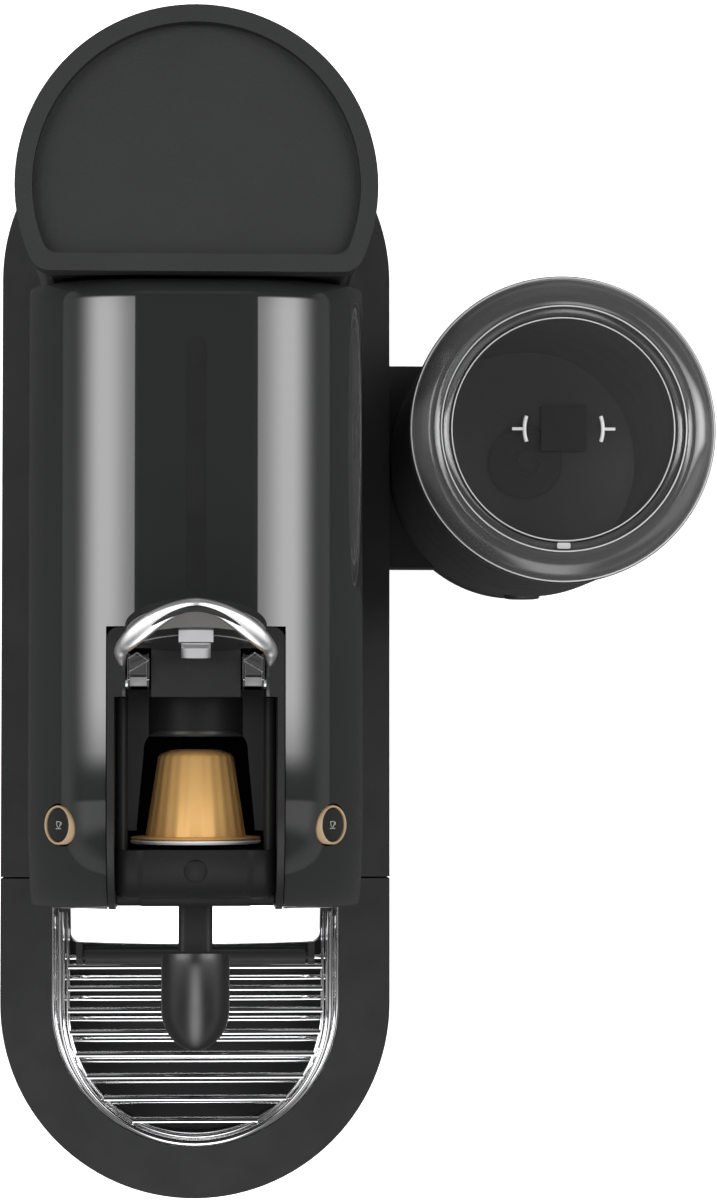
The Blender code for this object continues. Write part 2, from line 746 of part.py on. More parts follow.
def make_bin():
    low = BASE_TOP + 0.0006
    tub = rounded(-0.037, -0.0955, 0.037, -0.020, 0.006)
    bin_piece = piece("capsule_bin", plate("capsule_bin", [tub], low, 0.1045), BLACK_SATIN, DRAWER)
    hollow = rounded(-0.035, -0.0935, 0.035, -0.022, 0.004)
    cut(bin_piece, plate("hollow", [hollow], low + 0.002, 0.12))
    side = [(-0.098, low), (-0.0958, low), (-0.0958, 0.1105), (-0.082, 0.1105), (-0.082, 0.118)]
    side += [(-0.098, 0.118)]
    half = BIN_OPENING - GAP
    cover = piece("bin_cover", plate("bin_cover", [side], -half, half, SIDE), CHROME, DRAWER)
    curve = 0.135
    edge = math.degrees(math.asin(half / curve))
    arch = [(-half, low), (half, low)] + arc(0, 0.118 - curve, curve, 90 - edge, 90 + edge)
    limit = cutter("bin_cover_arch", plate("bin_cover_arch", [arch], 0.07, 0.11, FRONT), DRAWER)
    boolean(cover, limit, "INTERSECT")
    for name, x in (("left", -0.0365), ("right", 0.0365)):
        lug = plate(
            f"lug_{name}",
            [tapered_bar((-0.0965, HINGE_Z), (HINGE_Y, HINGE_Z), 0.003, 0.0028)],
            x - 0.001,
            x + 0.001,
            SIDE,
        )
        join(cover, lug, parent=DRAWER)
    cut(
        cover,
        cylinder("pin_hole", (-0.05, HINGE_Y, HINGE_Z), (0.05, HINGE_Y, HINGE_Z), 0.0018, 16),
        parent=DRAWER,
    )
    pin = cylinder("cup_hinge_pin", (-0.0374, HINGE_Y, HINGE_Z), (0.0374, HINGE_Y, HINGE_Z), PIN_R, 16)
    piece("cup_hinge_pin", pin, STEEL, DRAWER)


# Cup support ------------------------------------------------------------------------------------


def make_cup_support():
    back = HINGE_Y - 0.0038
    thick = 0.0015
    outer = front_d(CUP_R, CUP_CENTRE, back)
    inner = front_d(CUP_R - CUP_RIM, CUP_CENTRE, back - CUP_RIM)
    frame = piece(
        "cup_frame",
        plate("cup_frame", [outer, inner], HINGE_Z - thick, HINGE_Z + thick),
        CHROME,
        CUP_SUPPORT,
    )
    barrel = cylinder("barrel", (-0.0348, HINGE_Y, HINGE_Z), (0.0348, HINGE_Y, HINGE_Z), 0.0030, 16)
    web = box("web", (-0.0348, back - 0.001, HINGE_Z - thick), (0.0348, HINGE_Y, HINGE_Z + thick))
    join(frame, barrel, web, parent=CUP_SUPPORT)
    bore = cylinder("bore", (-0.04, HINGE_Y, HINGE_Z), (0.04, HINGE_Y, HINGE_Z), 0.0018, 16)
    cut(frame, bore, parent=CUP_SUPPORT)
    radius = CUP_R - CUP_RIM - GAP
    back = back - CUP_RIM - GAP
    slots = grid_slots(radius - 0.0024, CUP_CENTRE, back - 0.0035, SLOT_COUNT)
    mesh = plate("cup_grid", [front_d(radius, CUP_CENTRE, back)] + slots, HINGE_Z - 0.001, HINGE_Z + 0.001)
    piece("cup_grid", mesh, CHROME, CUP_SUPPORT)


# Water tank -------------------------------------------------------------------------------------


def make_tank():
    outer = tank_outline(TANK_R, TANK_FLAT, 0.006)
    inner = tank_outline(TANK_R - TANK_WALL, TANK_FLAT + TANK_WALL, 0.0045)
    tank = piece("tank_body", plate("tank_body", [outer], TANK_LOW, TANK_TOP), SMOKE, TANK)
    cut(
        tank,
        plate("hollow", [inner], TANK_LOW + TANK_WALL, 0.3),
        cylinder("valve_hole", (0, TANK_CENTRE, 0.03), (0, TANK_CENTRE, 0.05), 0.0073, 24),
    )
    valve = [(0, 0.050), (0.007, 0.050), (0.007, 0.0407), (0, 0.0407)]
    turned("tank_valve", valve, BLACK_SATIN, TANK, (0, TANK_CENTRE, 0), closed=False, segments=24)
    low = TANK_TOP + GAP
    panel = 0.2635
    lid = piece(
        "tank_lid",
        plate("tank_lid", [tank_outline(LID_R, LID_FLAT, 0.006)], low, LID_TOP),
        BLACK_SATIN,
        TANK_LID,
    )
    recess = tank_outline(LID_R - 0.0048, LID_FLAT + 0.0048, 0.0045)
    cut(lid, plate("panel", [recess], panel, 0.3))
    plug = tank_outline(LID_R - 0.0035, LID_FLAT + 0.0035, 0.0045)
    plug_hollow = tank_outline(LID_R - 0.0055, LID_FLAT + 0.0055, 0.0035)
    join(lid, plate("plug", [plug, plug_hollow], low - 0.006, low + 0.002), parent=TANK_LID)


# Lever and capsule cage -------------------------------------------------------------------------


def lever_frame():
    """A matrix from the lever's own plane (X, distance from the pivot, thickness) to the machine."""
    tilt = Matrix.Rotation(math.radians(90) - LEVER_LEAN, 4, "X")
    return Matrix.Translation((0, LEVER_Y, LEVER_Z)) @ tilt


def make_lever():
    frame = lever_frame()
    handle = arc(0, HANDLE_CENTRE, HANDLE_R, -22, 202)
    mesh = tube("lever_handle", [(x, r, 0) for x, r in handle], HANDLE_TUBE, 3)
    mesh.transform(frame)
    piece("lever_handle", mesh, CHROME, LEVER)
    edge = HANDLE_R - HANDLE_TUBE - GAP
    foot = 0.0115
    low = math.degrees(math.asin(-0.0065 / edge))
    panel = arc(0, HANDLE_CENTRE, edge, low, 180 - low) + [(-foot, 0.0285), (-foot, 0.0245)]
    panel += [(foot, 0.0245), (foot, 0.0285)]
    mesh = plate("lever_plate", [panel], -0.0012, 0.0012)
    mesh.transform(frame)
    piece("lever_plate", mesh, BLACK_SATIN, LEVER)
    latch = rounded(-0.0046, 0.0335, 0.0046, 0.0425, 0.0012)
    mesh = plate("lever_latch", [latch], 0.0015, 0.0068)
    mesh.transform(frame)
    piece("lever_latch", mesh, CHROME, LEVER)
    for name, side in (("left", -1), ("right", 1)):
        inner, outer = sorted((0.0126 * side, 0.0186 * side))
        arm = tapered_bar((LEVER_Y, LEVER_Z), (-0.0148, 0.2628), 0.004, 0.0026)
        piece(f"lever_arm_{name}", plate(f"lever_arm_{name}", [arm], inner, outer, SIDE), CHROME, LEVER)
        ends = [(x * side, LEVER_Y, LEVER_Z) for x in (0.0189, 0.0216)]
        piece(f"lever_pin_{name}", cylinder(f"lever_pin_{name}", *ends, 0.0024, 16), STEEL, LEVER)


def make_cage():
    depth = POD_LENGTH + 0.0005
    back = depth + 0.003
    cage = [(0, -depth), (0.0122, -depth), (0.0150, 0), (CAGE_R, 0), (CAGE_R, -back), (0, -back)]
    turned("capsule_cage", cage, STEEL, CAGE, (0, CAGE_MOUTH, BREW_Z), closed=False, segments=32,
           rotation=FACING_FRONT)


# Frother ----------------------------------------------------------------------------------------


def make_frother_base():
    low = FOOT_H + GAP
    half = (ARM_HIGH_Y - ARM_LOW_Y) / 2
    middle = (ARM_HIGH_Y + ARM_LOW_Y) / 2
    outline = [(BASE_R + GAP, ARM_LOW_Y)] + arc(JUG_X, middle, half, -90, 90)
    outline += [(BASE_R + GAP, ARM_HIGH_Y)]
    arm = piece("frother_arm", plate("frother_arm", [outline], low, ARM_TOP), BLACK_SATIN)
    join(arm, cylinder("disc", (JUG_X, JUG_Y, low), (JUG_X, JUG_Y, ARM_TOP), 0.044, 40))
    start, end = (JUG_X, JUG_Y, ARM_TOP + GAP), (JUG_X, JUG_Y, 0.0262)
    piece("frother_connector", cylinder("frother_connector", start, end, 0.008, 24), BLACK_SATIN)


def make_jug():
    wall = 0.0025
    low = JUG_LOW
    foot = JUG_FOOT_R
    shell = [(0.009, low + wall), (foot - wall, low + wall), (JUG_R - wall, JUG_TOP)]
    shell += [(JUG_R, JUG_TOP), (JUG_R, 0.060), (foot, BASE_TOP + 0.002), (foot, low + 0.002)]
    shell += [(foot - 0.002, low), (0.009, low)]
    centre = (JUG_X, JUG_Y, 0)
    jug = turned("jug_body", shell, BLACK_MATTE, JUG, centre, segments=56)
    front = JUG_Y - foot
    cut(
        jug,
        cylinder("button_hole", (JUG_X, front - 0.005, 0.036), (JUG_X, front + 0.008, 0.036), 0.0063),
        parent=JUG,
    )
    button = Vector((JUG_X, front, 0.036))
    group = moving("jug_button_body", button, JUG)
    mesh = cylinder("jug_button", (JUG_X, front + 0.006, 0.036), (JUG_X, front - 0.0012, 0.036), 0.006)
    piece("jug_button", mesh, BLACK_SATIN, group)
    rim = JUG_TOP + GAP
    inner = POT_R - 0.0015
    pot = [(0, POT_LOW + 0.0015), (inner, POT_LOW + 0.0015), (inner, rim + 0.0016), (JUG_R, rim + 0.0016)]
    pot += [(JUG_R, rim), (POT_R, rim), (POT_R, POT_LOW), (0, POT_LOW)]
    turned("jug_pot", pot, STEEL, JUG, centre, closed=False, segments=56)
    motor = [(0, 0.0440), (0.015, 0.0440), (0.015, 0.0280), (0, 0.0280)]
    turned("frother_motor", motor, STEEL, JUG, centre, closed=False, segments=24)
    floor = POT_LOW + 0.0015
    whisk = [(0, floor + 0.009), (0.0045, floor + 0.009), (0.0055, floor + 0.0035)]
    whisk += [(0.0125, floor + 0.0030), (0.0125, floor + 0.0008), (0, floor + 0.0008)]
    turned("whisk", whisk, BLACK_SATIN, WHISK, centre, closed=False, segments=24)


def make_jug_lid():
    low = JUG_TOP + GAP + 0.0016 + GAP
    inner = POT_R - 0.0015
    plug = inner - 0.0014
    wall = 0.0018
    lid = [(0, LID_DOME - wall), (plug - wall, LID_DOME - wall - 0.0012), (plug - wall, low - 0.008)]
    lid += [(plug, low - 0.008), (plug, low), (LID_RIM_R, low), (LID_RIM_R, low + 0.0035)]
    lid += [(LID_RIM_R - 0.004, LID_DOME - 0.0006), (0, LID_DOME)]
    turned("jug_lid", lid[::-1], CLEAR, JUG_LID, (JUG_X, JUG_Y, 0), closed=False, segments=56)
    seal = [(inner - GAP, low - 0.002), (inner - GAP, low - 0.007)]
    seal += [(plug + GAP, low - 0.007), (plug + GAP, low - 0.002)]
    turned("jug_lid_seal", seal, RUBBER, JUG_LID, (JUG_X, JUG_Y, 0), segments=56)


make_rear_base()
make_feet()
make_tank_seat()
make_cord_gland()
make_shell()
make_head_cover()
make_brew_frame()
make_outlet()
make_buttons()
make_pod()
make_inside()
make_hoses()
make_drip_tray()
make_bin()
make_cup_support()
make_tank()
make_lever()
make_cage()
make_frother_base()
make_jug()
make_jug_lid()
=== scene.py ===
"""The looks of the pod coffee machine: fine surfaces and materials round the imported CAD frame.

Lengths are in metres, and places come from the frame. Pieces are drawn round the machine's own middle
plane, and show() moves them to where it stands.
"""

import math

import bmesh
import bpy
import numpy as np
from mathutils import Matrix, Vector
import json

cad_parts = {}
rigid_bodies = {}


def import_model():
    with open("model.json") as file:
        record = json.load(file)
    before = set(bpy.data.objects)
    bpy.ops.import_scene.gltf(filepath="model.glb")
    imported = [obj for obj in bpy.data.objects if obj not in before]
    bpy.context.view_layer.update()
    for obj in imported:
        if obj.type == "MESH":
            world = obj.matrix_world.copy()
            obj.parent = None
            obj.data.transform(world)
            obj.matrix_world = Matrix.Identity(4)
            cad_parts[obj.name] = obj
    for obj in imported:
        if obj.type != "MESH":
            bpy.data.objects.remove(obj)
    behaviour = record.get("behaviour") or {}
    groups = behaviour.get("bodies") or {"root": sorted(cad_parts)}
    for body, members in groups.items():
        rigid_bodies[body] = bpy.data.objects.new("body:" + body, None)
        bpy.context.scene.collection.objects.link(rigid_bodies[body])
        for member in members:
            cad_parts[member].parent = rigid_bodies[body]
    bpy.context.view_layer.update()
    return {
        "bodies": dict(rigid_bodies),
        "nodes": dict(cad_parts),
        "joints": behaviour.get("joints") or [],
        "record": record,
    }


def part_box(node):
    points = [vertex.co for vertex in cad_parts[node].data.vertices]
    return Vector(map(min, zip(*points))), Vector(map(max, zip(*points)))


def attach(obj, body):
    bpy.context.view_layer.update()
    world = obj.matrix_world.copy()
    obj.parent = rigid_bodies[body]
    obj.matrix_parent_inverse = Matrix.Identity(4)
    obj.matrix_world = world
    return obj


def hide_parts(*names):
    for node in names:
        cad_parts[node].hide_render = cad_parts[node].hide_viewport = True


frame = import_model()
NODES = frame["nodes"]

# Places, all from the frame ---

MIDDLE_X = sum(corner.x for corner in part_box("shell")) / 2


def span(node):
    """The node's box at rest, with X measured from the machine's own middle plane."""
    low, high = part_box(node)
    return low - Vector((MIDDLE_X, 0, 0)), high - Vector((MIDDLE_X, 0, 0))


SHELL_LOW, SHELL_HIGH = span("shell")
BASE_LOW, BASE_HIGH = span("rear_base")
TRAY_LOW, TRAY_HIGH = span("drip_tray")
HEAD_LOW, HEAD_HIGH = span("head_cover")
TANK_LOW, TANK_HIGH = span("tank_body")
LID_LOW, LID_HIGH = span("tank_lid")
COVER_LOW, COVER_HIGH = span("bin_cover")
TRIM_HIGH = span("drip_trim")[1]
GRID_LOW, GRID_HIGH = span("lower_grid")
CUP_LOW, CUP_HIGH = span("cup_frame")
CUP_GRID_LOW, CUP_GRID_HIGH = span("cup_grid")
HOOD_LOW, HOOD_HIGH = span("outlet_hood")
NECK_LOW, NECK_HIGH = span("outlet_neck")
JUG_LOW, JUG_HIGH = span("jug_body")
POT_LOW, POT_HIGH = span("jug_pot")
JUG_LID_LOW, JUG_LID_HIGH = span("jug_lid")
ARM_LOW, ARM_HIGH = span("frother_arm")
POD_LOW, POD_HIGH = span("pod_cup")
CAGE_LOW, CAGE_HIGH = span("capsule_cage")
PIVOT = Vector(next(joint["pos_m"] for joint in frame["joints"] if joint["name"] == "lever_pivot"))

BREW_Z = (POD_LOW.z + POD_HIGH.z) / 2
BASE_R = BASE_HIGH.x
BASE_CENTRE = BASE_HIGH.y - BASE_R
SHELL_HALF = SHELL_HIGH.x
HEAD_HALF = HEAD_HIGH.x
TANK_CENTRE = TANK_HIGH.y - TANK_HIGH.x
JUG_X = (JUG_LOW.x + JUG_HIGH.x) / 2
JUG_Y = (JUG_LOW.y + JUG_HIGH.y) / 2
ABOVE_ALL = 0.28  # higher than the housing, for a cut that is open at the top

FACING_FRONT = Matrix.Rotation(math.radians(90), 4, "X")

# Camera ---

SENSOR_WIDTH = 36
FOCAL_SIDES = 3.01  # focal length, in lengths of the image's long side
CAMERA_HEIGHT = 1.250
CAMERA_Y = -0.0344
LOOK_RIGHT, LOOK_BACK = 0.0450, 0.0396  # how far the view leans, per metre of depth


def make_camera():
    data = bpy.data.cameras.new("camera")
    data.sensor_width = SENSOR_WIDTH
    data.lens = SENSOR_WIDTH * FOCAL_SIDES
    data.clip_start = 0.01
    camera = bpy.data.objects.new("camera", data)
    camera.location = (MIDDLE_X, CAMERA_Y, CAMERA_HEIGHT)
    back = Vector((-LOOK_RIGHT, -LOOK_BACK, 1)).normalized()
    right = Vector((0, 1, 0)).cross(back).normalized()
    up = back.cross(right)
    camera.rotation_euler = Matrix((right, up, back)).transposed().to_euler()
    bpy.context.scene.collection.objects.link(camera)
    bpy.context.scene.camera = camera


# Node helpers ---


class Nodes:
    """A short way to write a node tree."""

    def __init__(self, tree):
        self.tree = tree
        tree.nodes.clear()

    def add(self, kind, values=None, **settings):
        node = self.tree.nodes.new(kind)
        for name, value in settings.items():
            setattr(node, name, value)
        for name, value in (values or {}).items():
            if isinstance(value, bpy.types.NodeSocket):
                self.tree.links.new(value, node.inputs[name])
            else:
                node.inputs[name].default_value = value
        return node

    def math(self, operation, a, b):
        return self.add("ShaderNodeMath", {0: a, 1: b}, operation=operation).outputs[0]

    def smooth(self, value, low, high, to_low=0.0, to_high=1.0):
        limits = {"From Min": low, "From Max": high, "To Min": to_low, "To Max": to_high}
        kind = "ShaderNodeMapRange"
        return self.add(kind, {"Value": value, **limits}, interpolation_type="SMOOTHSTEP").outputs[0]

    def between(self, value, first_fade, last_fade):
        """1 between two fades and 0 beyond them, each fade given as where it is 0 and where it is 1."""
        return self.math("MULTIPLY", self.smooth(value, *first_fade), self.smooth(value, *last_fade))


# Light ---
# The world is drawn by direction: Y and Z are parts of the unit direction, a lean is the angle from
# straight up to either side, and a dip is the angle from straight up to the front or the back.

BAND_START, BAND_PEAK, BAND_END = (math.radians(lean) for lean in (12.8, 41, 86))
BAND_FRONT_FADE, BAND_REAR_FADE = (-0.022, 0.014), (0.34, 0.16)
BAND_EDGE_SHARE = 0.42  # how bright a side light is where it starts, against its peak
BAND_LIGHT = 10.0
WING_REAR_FADE, WING_FRONT_FADE = (-0.055, -0.095), (-0.60, -0.35)
WING_UPPER_FADE, WING_LOWER_FADE = (0.22, 0.38), (1.40, 1.10)
WING_LIGHT = 1.1
SPOT_WIDTH_FADE = (0.34, 0.06)
SPOT_UPPER_FADE, SPOT_LOWER_FADE = (0.34, 0.62), (1.50, 1.20)
FRONT_LIGHT, BACK_LIGHT = 3.6, 0.25
GLOW_UPPER_FADE, GLOW_LOWER_FADE = (0.38, 0.12), (-0.05, 0.02)
HORIZON_LIGHT = 0.45
FILL_LIGHT = 0.036
DIFFUSE_SHARE = 0.35  # how much of the shaped lights reaches matt surfaces
DIFFUSE_LIGHT = 1.10  # even light for matt surfaces only, so that hollows don't go black
BACKDROP = 0.93
FLOOR_TONE, FLOOR_MIRRORED, FLOOR_SHINE = 0.85, 0.05, 0.72


def side_bands(n, lean, y):
    """Two long lights overhead, one on each side of a dark strip, that fade outwards."""
    rise = n.smooth(lean, BAND_START, BAND_START + 0.02)
    swell = n.smooth(lean, BAND_START, BAND_PEAK, BAND_EDGE_SHARE, 1.0)
    fall = n.math("POWER", n.smooth(lean, BAND_PEAK + 0.08, BAND_END, 1.0, 0.0), 2.0)
    across = n.math("MULTIPLY", n.math("MULTIPLY", rise, swell), fall)
    band = n.math("MULTIPLY", across, n.between(y, BAND_FRONT_FADE, BAND_REAR_FADE))
    return n.math("MULTIPLY", band, BAND_LIGHT)


def make_world():
    """Side bands, a weaker pair in front of them, a spot ahead and behind, and a glow low down."""
    world = bpy.data.worlds.new("studio")
    world.use_nodes = True
    bpy.context.scene.world = world
    n = Nodes(world.node_tree)
    split = n.add("ShaderNodeSeparateXYZ", {0: n.add("ShaderNodeTexCoord").outputs["Generated"]})
    x, y, z = split.outputs
    across = n.math("ABSOLUTE", x, 0.0)
    lean = n.math("ARCTAN2", across, z)
    light = side_bands(n, lean, y)
    ahead = n.between(y, WING_REAR_FADE, WING_FRONT_FADE)
    beside = n.between(lean, WING_UPPER_FADE, WING_LOWER_FADE)
    wings = n.math("MULTIPLY", n.math("MULTIPLY", ahead, beside), WING_LIGHT)
    light = n.math("ADD", light, wings)
    narrow = n.smooth(across, *SPOT_WIDTH_FADE)
    for way, strength in ((-1, FRONT_LIGHT), (1, BACK_LIGHT)):
        dip = n.math("ARCTAN2", n.math("MULTIPLY", y, way), z)
        spot = n.math("MULTIPLY", n.between(dip, SPOT_UPPER_FADE, SPOT_LOWER_FADE), narrow)
        light = n.math("ADD", light, n.math("MULTIPLY", spot, strength))
    glow = n.math("MULTIPLY", n.between(z, GLOW_UPPER_FADE, GLOW_LOWER_FADE), HORIZON_LIGHT)
    light = n.math("ADD", light, n.math("ADD", glow, FILL_LIGHT))
    rays = n.add("ShaderNodeLightPath")
    matt = rays.outputs["Is Diffuse Ray"]
    share = n.math("SUBTRACT", 1.0, n.math("MULTIPLY", matt, 1 - DIFFUSE_SHARE))
    light = n.math("ADD", n.math("MULTIPLY", light, share), n.math("MULTIPLY", matt, DIFFUSE_LIGHT))
    grey = n.add("ShaderNodeCombineColor", {0: light, 1: light, 2: light}).outputs[0]
    lit = n.add("ShaderNodeBackground", {"Color": grey, "Strength": 1.0}).outputs[0]
    seen = n.add("ShaderNodeBackground", {"Color": (BACKDROP, BACKDROP, BACKDROP, 1)}).outputs[0]
    mix = n.add("ShaderNodeMixShader", {0: rays.outputs["Is Camera Ray"], 1: lit, 2: seen}).outputs[0]
    n.add("ShaderNodeOutputWorld", {"Surface": mix})


def make_floor():
    """A pale floor that glows a little to the eye, and that the gloss surfaces mirror as dark."""
    mesh = bpy.data.meshes.new("floor")
    shape = bmesh.new()
    bmesh.ops.create_grid(shape, x_segments=1, y_segments=1, size=4)
    shape.to_mesh(mesh)
    shape.free()
    floor = bpy.data.objects.new("floor", mesh)
    bpy.context.scene.collection.objects.link(floor)
    made = bpy.data.materials.new("floor")
    made.use_nodes = True
    n = Nodes(made.node_tree)
    pale = n.add("ShaderNodeBsdfDiffuse", {"Color": (FLOOR_TONE, FLOOR_TONE, FLOOR_TONE, 1)}).outputs[0]
    shine = n.add("ShaderNodeEmission", {"Color": (1, 1, 1, 1), "Strength": FLOOR_SHINE}).outputs[0]
    bright = n.add("ShaderNodeAddShader", {0: pale, 1: shine}).outputs[0]
    mirrored = (FLOOR_MIRRORED, FLOOR_MIRRORED, FLOOR_MIRRORED, 1)
    dark = n.add("ShaderNodeBsdfDiffuse", {"Color": mirrored}).outputs[0]
    is_glossy = n.add("ShaderNodeLightPath").outputs["Is Glossy Ray"]
    mix = n.add("ShaderNodeMixShader", {0: is_glossy, 1: bright, 2: dark}).outputs[0]
    n.add("ShaderNodeOutputMaterial", {"Surface": mix})
    mesh.materials.append(made)


def make_view():
    view = bpy.context.scene.view_settings
    view.view_transform = "Standard"
    view.look = "None"


# Materials ---

DRIFT_SCALE, SMUDGE_SCALE, BRUSH_SCALE = 34.0, 95.0, 900  # noise cells per metre
IOR = 1.5


def finish_of(name, colour, roughness, metallic=0.0, grain=0.0, grain_size=0.0006, vary=0.06,
              transmission=0.0, alpha=1.0, specular=0.5, brushed=None):
    """Fine surface grain or brushed lines, over uneven gloss and faint colour drift.

    The lines come from noise that brushed stretches along one axis.
    """
    made = bpy.data.materials.new(name)
    made.use_nodes = True
    n = Nodes(made.node_tree)
    place = n.add("ShaderNodeTexCoord").outputs["Object"]
    drift = n.add("ShaderNodeTexNoise", {"Vector": place, "Scale": DRIFT_SCALE, "Detail": 3.0}).outputs[0]
    shift = n.smooth(drift, 0.3, 0.7, 1 - vary, 1 + vary)
    grey = n.add("ShaderNodeCombineColor", {0: shift, 1: shift, 2: shift}).outputs[0]
    tint = n.add("ShaderNodeMix", {"Factor": 1.0, 6: (*colour, 1), 7: grey}, data_type="RGBA",
                 blend_type="MULTIPLY")
    smudge = n.add("ShaderNodeTexNoise", {"Vector": place, "Scale": SMUDGE_SCALE, "Detail": 5.0}).outputs[0]
    rough = n.smooth(smudge, 0.25, 0.75, roughness * (1 - vary), roughness * (1 + 2 * vary))
    values = {
        "Base Color": tint.outputs[2],
        "Roughness": rough,
        "Metallic": metallic,
        "IOR": IOR,
        "Transmission Weight": transmission,
        "Alpha": alpha,
        "Specular IOR Level": specular,
    }
    noise = {"Vector": place, "Scale": 1 / grain_size, "Detail": 2.0}
    bump = {"Strength": grain, "Distance": grain_size * 0.25}
    if brushed:
        stretched = n.add("ShaderNodeMapping", {"Vector": place, "Scale": brushed}).outputs[0]
        noise = {"Vector": stretched, "Scale": BRUSH_SCALE}
        bump = {"Strength": 0.15, "Distance": 0.0001}
    if grain or brushed:
        bump["Height"] = n.add("ShaderNodeTexNoise", noise).outputs[0]
        values["Normal"] = n.add("ShaderNodeBump", bump).outputs[0]
    shader = n.add("ShaderNodeBsdfPrincipled", values).outputs[0]
    n.add("ShaderNodeOutputMaterial", {"Surface": shader})
    return made


def black(name, colour, roughness, grain, specular=0.5, grain_size=0.0005):
    """A black moulding with fine grain."""
    return finish_of(name, colour, roughness, grain=grain, grain_size=grain_size, specular=specular)


def plated(name, colour, roughness):
    return finish_of(name, colour, roughness, metallic=1.0, vary=0.04)


GLOSS = finish_of("gloss_black", (0.0150, 0.0154, 0.0154), 0.045, vary=0.03)
SATIN = black("satin_black", (0.0190, 0.0195, 0.0195), 0.40, 0.30, 0.35)
BASE_FINISH = black("base_black", (0.0148, 0.0154, 0.0151), 0.34, 0.25, 0.35)
LID_FINISH = black("lid_black", (0.0112, 0.0117, 0.0117), 0.50, 0.60, 0.30, grain_size=0.0007)
MATTE = black("matte_black", (0.0110, 0.0113, 0.0113), 0.40, 0.35, 0.20)
JUG_FINISH = black("jug_black", (0.0200, 0.0200, 0.0200), 0.50, 0.40)
HOOD_FINISH = black("hood_black", (0.0060, 0.0062, 0.0062), 0.30, 0.08, 0.80, grain_size=0.0004)
INSERT = black("insert_black", (0.0072, 0.0074, 0.0074), 0.46, 0.30, 0.14)
# ink_black also colours the painted reflection strip on the housing's top
INK = black("ink_black", (0.0060, 0.0062, 0.0062), 0.30, 0.10, 0.30)
CHROME = plated("chrome", (0.80, 0.80, 0.81), 0.07)
SATIN_CHROME = plated("satin_chrome", (0.22, 0.22, 0.225), 0.34)
LEVER_CHROME = plated("lever_chrome", (0.80, 0.80, 0.81), 0.33)
DARK_STEEL = finish_of("dark_steel", (0.030, 0.030, 0.030), 0.38, metallic=0.5)
STEEL = finish_of("brushed_steel", (0.55, 0.56, 0.58), 0.30, metallic=1.0, brushed=(1, 1, 0.02))
PANEL_GREY = finish_of("panel_grey", (0.14, 0.14, 0.14), 0.5, grain=0.2, metallic=0.3)
PAD_GREY = finish_of("pad_grey", (0.20, 0.20, 0.20), 0.55, metallic=0.2)
RUBBER = finish_of("rubber", (0.018, 0.018, 0.018), 0.75, grain=0.4)
SILICONE = finish_of("silicone", (0.72, 0.71, 0.66), 0.5)
BOARD = finish_of("circuit_board", (0.02, 0.13, 0.05), 0.45, vary=0.2)
GOLD = finish_of("gold_aluminium", (0.80, 0.47, 0.165), 0.42, metallic=0.35, grain=0.10, grain_size=0.0004)
FOIL = finish_of("foil", (0.80, 0.80, 0.80), 0.38, metallic=0.25)
SMOKE = finish_of("smoked_clear", (0.16, 0.16, 0.17), 0.06, transmission=0.92, vary=0.02)
CLEAR = finish_of("clear_lid", (0.085, 0.085, 0.087), 0.07, vary=0.01, alpha=0.16, specular=0.6)
CLEAR_RIM = finish_of("clear_rim", (0.060, 0.060, 0.061), 0.12, vary=0.01, alpha=0.72, specular=0.9)
# an opaque light grey that paints the highlights along the edges of clear plastic
PAINTED_EDGE_HIGHLIGHT = finish_of("clear_edge_painted_highlight", (0.42, 0.42, 0.42), 0.25, vary=0.01)
POT = finish_of("pot_coating", (0.095, 0.095, 0.096), 0.42, grain=0.3)
GLOW = finish_of("light_ring", (0.30, 0.21, 0.12), 0.45)
ICON = finish_of("button_icon", (0.26, 0.26, 0.25), 0.5)

# Outlines ---

FACET = math.radians(3)
CORNER_FACET = 0.2
SHARPEST_FACET = 0.25


def arc(x, y, radius, start, end, facet=FACET):
    """Points of an arc, from one angle to another in degrees."""
    span = math.radians(end - start)
    steps = max(2, round(abs(span) / facet))
    angles = (math.radians(start) + span * i / steps for i in range(steps + 1))
    return [(x + radius * math.cos(a), y + radius * math.sin(a)) for a in angles]


def circle(x, y, radius, facet=FACET):
    return arc(x, y, radius, 0, 360, facet)[:-1]


def rectangle(x0, y0, x1, y1):
    return [(x0, y0), (x1, y0), (x1, y1), (x0, y1)]


def rounded(x0, y0, x1, y1, r):
    return (
        arc(x1 - r, y0 + r, r, -90, 0, CORNER_FACET)
        + arc(x1 - r, y1 - r, r, 0, 90, CORNER_FACET)
        + arc(x0 + r, y1 - r, r, 90, 180, CORNER_FACET)
        + arc(x0 + r, y0 + r, r, 180, 270, CORNER_FACET)
    )


def softened(points, radius):
    """The closed outline with each corner sharper than a curve's facet turned into a small arc."""
    result = []
    count = len(points)
    for i, point in enumerate(points):
        here = Vector(point)
        before = Vector(points[i - 1]) - here
        after = Vector(points[(i + 1) % count]) - here
        bend = math.pi - before.angle(after)
        if bend < SHARPEST_FACET:
            result.append(tuple(here))
            continue
        reach = min(radius * math.tan(bend / 2), before.length * 0.49, after.length * 0.49)
        start, end = here + before.normalized() * reach, here + after.normalized() * reach
        for k in range(7):
            t = k / 6
            result.append(tuple(start * (1 - t) ** 2 + here * 2 * t * (1 - t) + end * t * t))
    return result


def both_halves(points):
    """The points, then their mirror images across the middle plane in the opposite order."""
    return points + [(-x, y) for x, y in reversed(points) if x]


def rear_d(radius, centre, front):
    return [(-radius, front), (radius, front)] + arc(0, centre, radius, 0, 180)


def front_d(radius, centre, back):
    return [(radius, back), (-radius, back)] + arc(0, centre, radius, 180, 360)


def tank_outline(radius, flat, corner):
    """A circle cut by a flat front whose two corners are rounded."""
    rise = flat + corner - TANK_CENTRE
    across = math.sqrt((radius - corner) ** 2 - rise**2)
    lean = math.degrees(math.atan2(rise, across))
    return (
        arc(across, flat + corner, corner, -90, lean)
        + arc(0, TANK_CENTRE, radius, lean, 180 - lean)[1:-1]
        + arc(-across, flat + corner, corner, 180 - lean, 270)
    )


